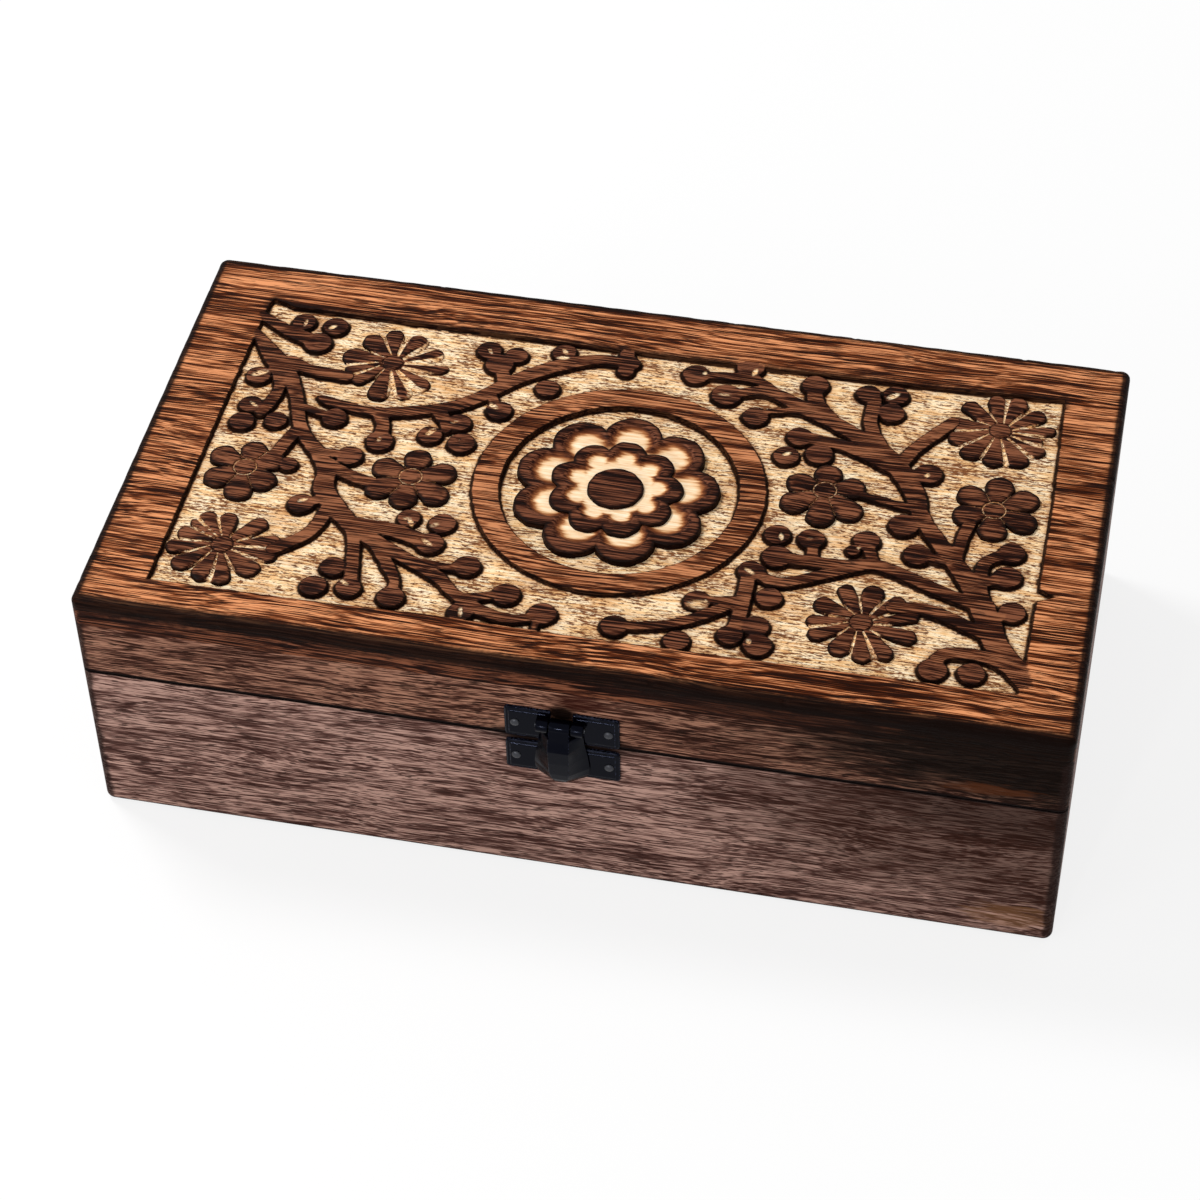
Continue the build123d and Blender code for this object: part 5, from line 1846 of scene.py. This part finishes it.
    def tongue_sheet(self) -> tuple[Array, Array, Array, Array]:
        """The tongue's outer face on a grid of places across and down.

        Across runs from -1 at the left rim to 1 at the right. The face is flat over the ridge and
        falls in a line to the rim: its height is the smaller of the ridge's and the cheek's.

        Returns:
            Places along X and Z, the height out of the wall, and a value for edges, where pale specks paint a
            highlight along the ridge's edges.
        """
        named = np.array(TONGUE)
        down = np.linspace(0, named[-1, 0], 130)
        out, ridge, rim = (np.interp(down, named[:, 0], named[:, k])[None, :] for k in (1, 2, 3))
        across = np.linspace(-1, 1, 81)[:, None]
        place = across * rim
        pin_height = FRONT - self.axis_y
        rim_out = self.plate_thickness + self.rim_gap - pin_height
        fall = np.clip((rim - np.abs(place)) / np.maximum(rim - ridge, 0.05), 0, 1.4)
        height = np.minimum(out, rim_out + (out - rim_out) * fall) + pin_height
        # painted highlight: more pale specks along both edges of the ridge stand in for its glint
        edge = np.exp(-((np.abs(place) - ridge) / 0.12) ** 2)
        return place + self.middle_x, self.axis_z - down[None, :] + 0 * place, height, edge

    def build_tongue(self, material: Material) -> None:
        """Makes the hollow tongue and the knuckle that turns on the pin.

        Args:
            material: The piece's material.
        """
        x, z, height, edge = self.tongue_sheet()
        a, b, c, d = cell_corners(np.arange(x.size).reshape(x.shape))
        triangles = np.concatenate([np.stack([a, c, b], -1).reshape(-1, 3),
                                    np.stack([a, d, c], -1).reshape(-1, 3)])
        top = self.out_of_wall(x, z, height)
        inner_x = self.middle_x + (x - self.middle_x) * 0.9
        lowest = self.plate_thickness + self.rim_gap - 0.08
        bottom = self.out_of_wall(inner_x, z, np.maximum(height - self.tongue_wall, lowest))
        shell = closed_solid(top, bottom, triangles, {"edge": edge})
        half = self.knuckle_half
        knuckle = self.bar(self.middle_x - half, self.middle_x + half, self.ear_radius)
        tongue = shell.plus(knuckle).piece("latch_snap_tongue", material, 30)
        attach(tongue, "tongue")
        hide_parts("latch_tongue")

    def build(self, black: Material, steel: Material) -> None:
        """Makes every piece of the latch.

        Args:
            black: Lacquered steel.
            steel: Bare dark steel.
        """
        self.build_plates(black)
        self.build_nails(steel)
        self.build_tongue(black)


def front_scorches_and_shadows() -> tuple[StainAndShadowPatch, ...]:
    """Scorches and painted shadows on the lid's front: scorch over its right half, black and red stain behind
    the latch, and painted shadow between the latch's plates and behind its knuckle.
    """
    return (
        StainAndShadowPatch((128, FRONT, 66), (110, 1.7, 21), srgb(24, 9, 4), strength=0.62),
        StainAndShadowPatch((124, FRONT, 68), (72, 1.7, 20), srgb(9, 3, 1), strength=0.93),
        StainAndShadowPatch((108, FRONT, 56), (14, 1.7, 2.0), srgb(96, 50, 24), strength=0.4, ragged=2.2),
        # painted shadow: near black on the wood between the latch's two plates, where shade falls
        StainAndShadowPatch((0, FRONT, 51.2), (23, 3, 5), srgb(8, 3, 2), strength=0.97, ragged=0.3),
        StainAndShadowPatch((46, FRONT, 73), (40, 1.7, 5), srgb(30, 12, 7), strength=0.6),
        # painted shadow of the knuckle on the wall in the plate's notch; above the plate the same black is
        # stain
        StainAndShadowPatch((0, FRONT, 61), (4.6, 1.7, 3.4), srgb(8, 3, 2), strength=0.98, ragged=0.4),
        StainAndShadowPatch((5, FRONT, 66), (9, 1.7, 3.4), srgb(46, 14, 8), strength=0.7),
    )


@dataclass
class BoxBoards:
    """The plain boards, the bottom, the dividers and the hinges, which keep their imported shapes."""

    def finishes(self) -> dict[str, BoardFinish]:
        """The finish of each board by its node.

        Returns:
            A finish for each node.
        """
        base = BoardFinish("base_board_wood", dark=srgb(60, 36, 31), middle=srgb(112, 81, 73),
                           light=srgb(172, 137, 124), pore=srgb(44, 24, 20), edge_burn=0.85)
        lid = BoardFinish("lid_board_wood", dark=srgb(42, 20, 13), middle=srgb(98, 63, 51),
                          light=srgb(154, 111, 90), pore=srgb(30, 14, 9), edge_burn=0.85)
        base_scorches_and_shadows = (
            StainAndShadowPatch((128, FRONT, 44), (108, 4, 44), srgb(38, 14, 4), strength=0.68),
            StainAndShadowPatch((126, FRONT, 48), (60, 4, 14), srgb(26, 10, 5), strength=0.6),
            StainAndShadowPatch((117, FRONT, 8), (12, 4, 5), srgb(160, 112, 72), strength=0.25, ragged=2.2),
            # painted shadow: near black on the wood between the latch's two plates, where shade falls
            StainAndShadowPatch((0, FRONT, 50.6), (23, 3, 5), srgb(8, 3, 2), strength=0.97, ragged=0.3),
        )
        scorches_and_shadows = {"base_front_board": base_scorches_and_shadows, "lid_front_rail": front_scorches_and_shadows()}
        offsets = {
            "base_front_board": (0.0, 0.0, 0.0), "base_back_board": (310.0, 40.0, 25.0),
            "base_left_board": (70.0, 210.0, 60.0), "base_right_board": (20.0, 330.0, 90.0),
            "lid_front_rail": (150.0, 30.0, 33.0), "lid_back_rail": (440.0, 70.0, 61.0),
            "lid_left_rail": (90.0, 250.0, 22.0), "lid_right_rail": (35.0, 380.0, 47.0),
        }
        right_coat = 0.12
        found = {}
        for node, offset in offsets.items():
            body, side, _ = node.split("_")
            finish = base if body == "base" else lid
            found[node] = replace(finish, name=f"{body}_{side}_wood", offset=offset,
                                  grain_along_y=side in ("left", "right"),
                                  coat=right_coat if side == "right" else 0.0,
                                  stain_and_shadow_patches=scorches_and_shadows.get(node, ()))
        return found

    def inner_finishes(self) -> dict[str, BoardFinish]:
        """The paler finishes inside the box.

        Returns:
            A finish for each start of the nodes' names.
        """
        divider = BoardFinish("divider_wood", dark=srgb(150, 104, 66), middle=srgb(186, 140, 94),
                              light=srgb(214, 176, 128), pore=srgb(112, 72, 44),
                              streak_width=1.1, roughness=0.6)
        bottom = BoardFinish("bottom_wood", dark=srgb(122, 84, 56), middle=srgb(158, 116, 80),
                             light=srgb(188, 148, 108), pore=srgb(88, 56, 36),
                             streak_width=1.4, roughness=0.62)
        cross = replace(divider, name="divider_cross_wood", grain_along_y=True, offset=(12.0, 140.0, 5.0))
        return {"divider_long": divider, "divider_cross": cross, "bottom_panel": bottom}

    def build(self, black: Material, steel: Material) -> None:
        """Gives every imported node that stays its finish.

        Args:
            black: Lacquered steel.
            steel: Bare dark steel.
        """
        for node, finish in self.finishes().items():
            self.paint(node, finish.build())
            log.info("%s: %s", node, finish.name)
        inner = {prefix: finish.build() for prefix, finish in self.inner_finishes().items()}
        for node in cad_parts:
            for prefix, material in inner.items():
                if node.startswith(prefix):
                    self.paint(node, material)
            if node.startswith("hinge") or node == "latch_pin":
                self.paint(node, black if "leaf" in node else steel)

    def paint(self, node: str, material: Material) -> None:
        """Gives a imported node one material."""
        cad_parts[node].data.materials.clear()
        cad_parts[node].data.materials.append(material)


@dataclass(frozen=True)
class Lamp:
    """A square soft lamp that faces the box: its place and side in metres and its power in watts."""

    name: str
    place: Place
    side: float
    power: float

    def build(self) -> None:
        """Adds the lamp."""
        data = bpy.data.lights.new(self.name, "AREA")
        data.size = self.side
        data.energy = self.power
        lamp = bpy.data.objects.new(self.name, data)
        lamp.location = self.place
        lamp.rotation_mode = "QUATERNION"
        lamp.rotation_quaternion = (Vector((0, 0, 0.04)) - Vector(self.place)).to_track_quat("-Z", "Y")
        bpy.context.scene.collection.objects.link(lamp)


@dataclass
class Studio:
    """Camera, pale floor and soft light."""

    aim: Place = (-3.34, -8.06, 40.0)
    distance: float = 882.3
    azimuth: float = 12.826
    elevation: float = 45.732
    roll: float = -1.334
    lens: float = 98.48
    sensor: float = 36.0
    floor_half: float = 6.0
    floor_drop: float = 0.0002
    white_share: float = 0.82
    lamps: tuple[Lamp, ...] = (
        Lamp("key_lamp", (-0.7, 0.35, 1.2), side=0.35, power=13.0),
        Lamp("front_lamp", (-0.9, -1.3, 0.7), side=0.6, power=5.2),
        Lamp("glint_lamp", (-0.23, -1.44, 0.4), side=0.08, power=5.0),
    )

    def build_camera(self) -> None:
        """Sets the camera at the photographed angle. Its axes are right, up and back."""
        a, e, r = (math.radians(v) for v in (self.azimuth, self.elevation, self.roll))
        back = Vector((math.sin(a) * math.cos(e), -math.cos(a) * math.cos(e), math.sin(e)))
        level = Vector((math.cos(a), math.sin(a), 0.0))
        upright = back.cross(level)
        right = level * math.cos(r) + upright * math.sin(r)
        up = upright * math.cos(r) - level * math.sin(r)
        data = bpy.data.cameras.new("camera")
        data.lens = self.lens
        data.sensor_width = self.sensor
        data.clip_start, data.clip_end = 0.05, 20.0
        camera = bpy.data.objects.new("camera", data)
        turn = Matrix((right, up, back)).transposed().to_4x4()
        place = (Vector(self.aim) + back * self.distance) * MM
        camera.matrix_world = Matrix.Translation(place) @ turn
        bpy.context.scene.collection.objects.link(camera)
        bpy.context.scene.camera = camera

    def build_floor(self) -> None:
        """A wide pale floor that keeps a faint shadow and meets the white background."""
        size = self.floor_half
        mesh = bpy.data.meshes.new("floor")
        corners = [(-size, -size, 0), (size, -size, 0), (size, size, 0), (-size, size, 0)]
        mesh.from_pydata(corners, [], [(0, 1, 2, 3)])
        floor = bpy.data.objects.new("floor", mesh)
        floor.location.z = -self.floor_drop
        bpy.context.scene.collection.objects.link(floor)
        material = bpy.data.materials.new("pale_floor")
        material.use_nodes = True
        nodes = Nodes(material.node_tree)
        matt = nodes.add("BsdfDiffuse", {"Color": (0.9, 0.9, 0.9, 1.0)})
        white = nodes.add("Emission", {"Color": (1.0, 1.0, 1.0, 1.0), "Strength": 1.0})
        path = nodes.add("LightPath")
        seen = nodes.sum("MAXIMUM", path.outputs["Is Camera Ray"], path.outputs["Is Glossy Ray"])
        share = nodes.sum("MULTIPLY", seen, self.white_share)
        mixed = nodes.add("MixShader", {0: share, 1: matt.outputs[0], 2: white.outputs[0]})
        nodes.add("OutputMaterial", {"Surface": mixed.outputs[0]})
        mesh.materials.append(material)

    def build_world(self) -> None:
        """An even sky: white where it is seen, softer where it lights."""
        world = bpy.data.worlds.new("studio")
        world.use_nodes = True
        bpy.context.scene.world = world
        nodes = Nodes(world.node_tree)
        path = nodes.add("LightPath")
        seen = nodes.sum("MAXIMUM", path.outputs["Is Camera Ray"], path.outputs["Is Glossy Ray"])
        seen = nodes.sum("MAXIMUM", seen, path.outputs["Is Transmission Ray"])
        strength = nodes.step(seen, 0.0, 1.0, 0.5, 1.0)
        sky = nodes.add("Background", {"Color": (1.0, 1.0, 1.0, 1.0), "Strength": strength})
        nodes.add("OutputWorld", {"Surface": sky.outputs[0]})

    def build(self) -> None:
        """Builds the whole studio."""
        self.build_camera()
        self.build_floor()
        self.build_world()
        for lamp in self.lamps:
            lamp.build()
        bpy.context.scene.view_settings.view_transform = "Standard"
        log.info("studio: camera, floor and lamps")


def main() -> None:
    """Builds the studio and every piece of the box."""
    logging.basicConfig(level=logging.INFO, format="%(name)s %(message)s")
    Studio().build()
    build_grain_group()
    build_scorch_group()
    build_specks_group()
    # the bluish chip colour of the lacquer also paints the highlight along the tongue's ridge
    black = SteelFinish("black_lacquer", colour=srgb(1, 1, 5), chip_and_glint=srgb(44, 48, 66), roughness=0.16,
                        gloss=0.075, tint=srgb(196, 206, 246)).build()
    steel = SteelFinish("dark_steel", colour=srgb(52, 53, 58), chip_and_glint=srgb(150, 150, 152), roughness=0.34,
                        metallic=0.7, chips=0.1).build()
    carved = CarvedFinish(stain_and_shadow_patches=front_scorches_and_shadows()).build()
    CarvedLid().build(carved)
    for place, (middle, petals) in DAISIES.items():
        right_cut = 3.2 if place == "back_left" else 1.4
        Daisy(f"daisy_{place}", pitch=0.24, middle=middle, petals=tuple(petals),
              right_cut=right_cut).build(carved)
    for place, (middle, *petals) in SIX_PETAL_FLOWERS.items():
        SixPetalFlower(f"flower_{place}", pitch=0.26, middle=middle, petals=tuple(petals)).build(carved)
    Rosette("rosette", pitch=0.3, relief_depth=RING_FLOOR_DEPTH).build(carved)
    BoxBoards().build(black, steel)
    SnapLatch().build(black, steel)


if __name__ == "__main__":
    main()
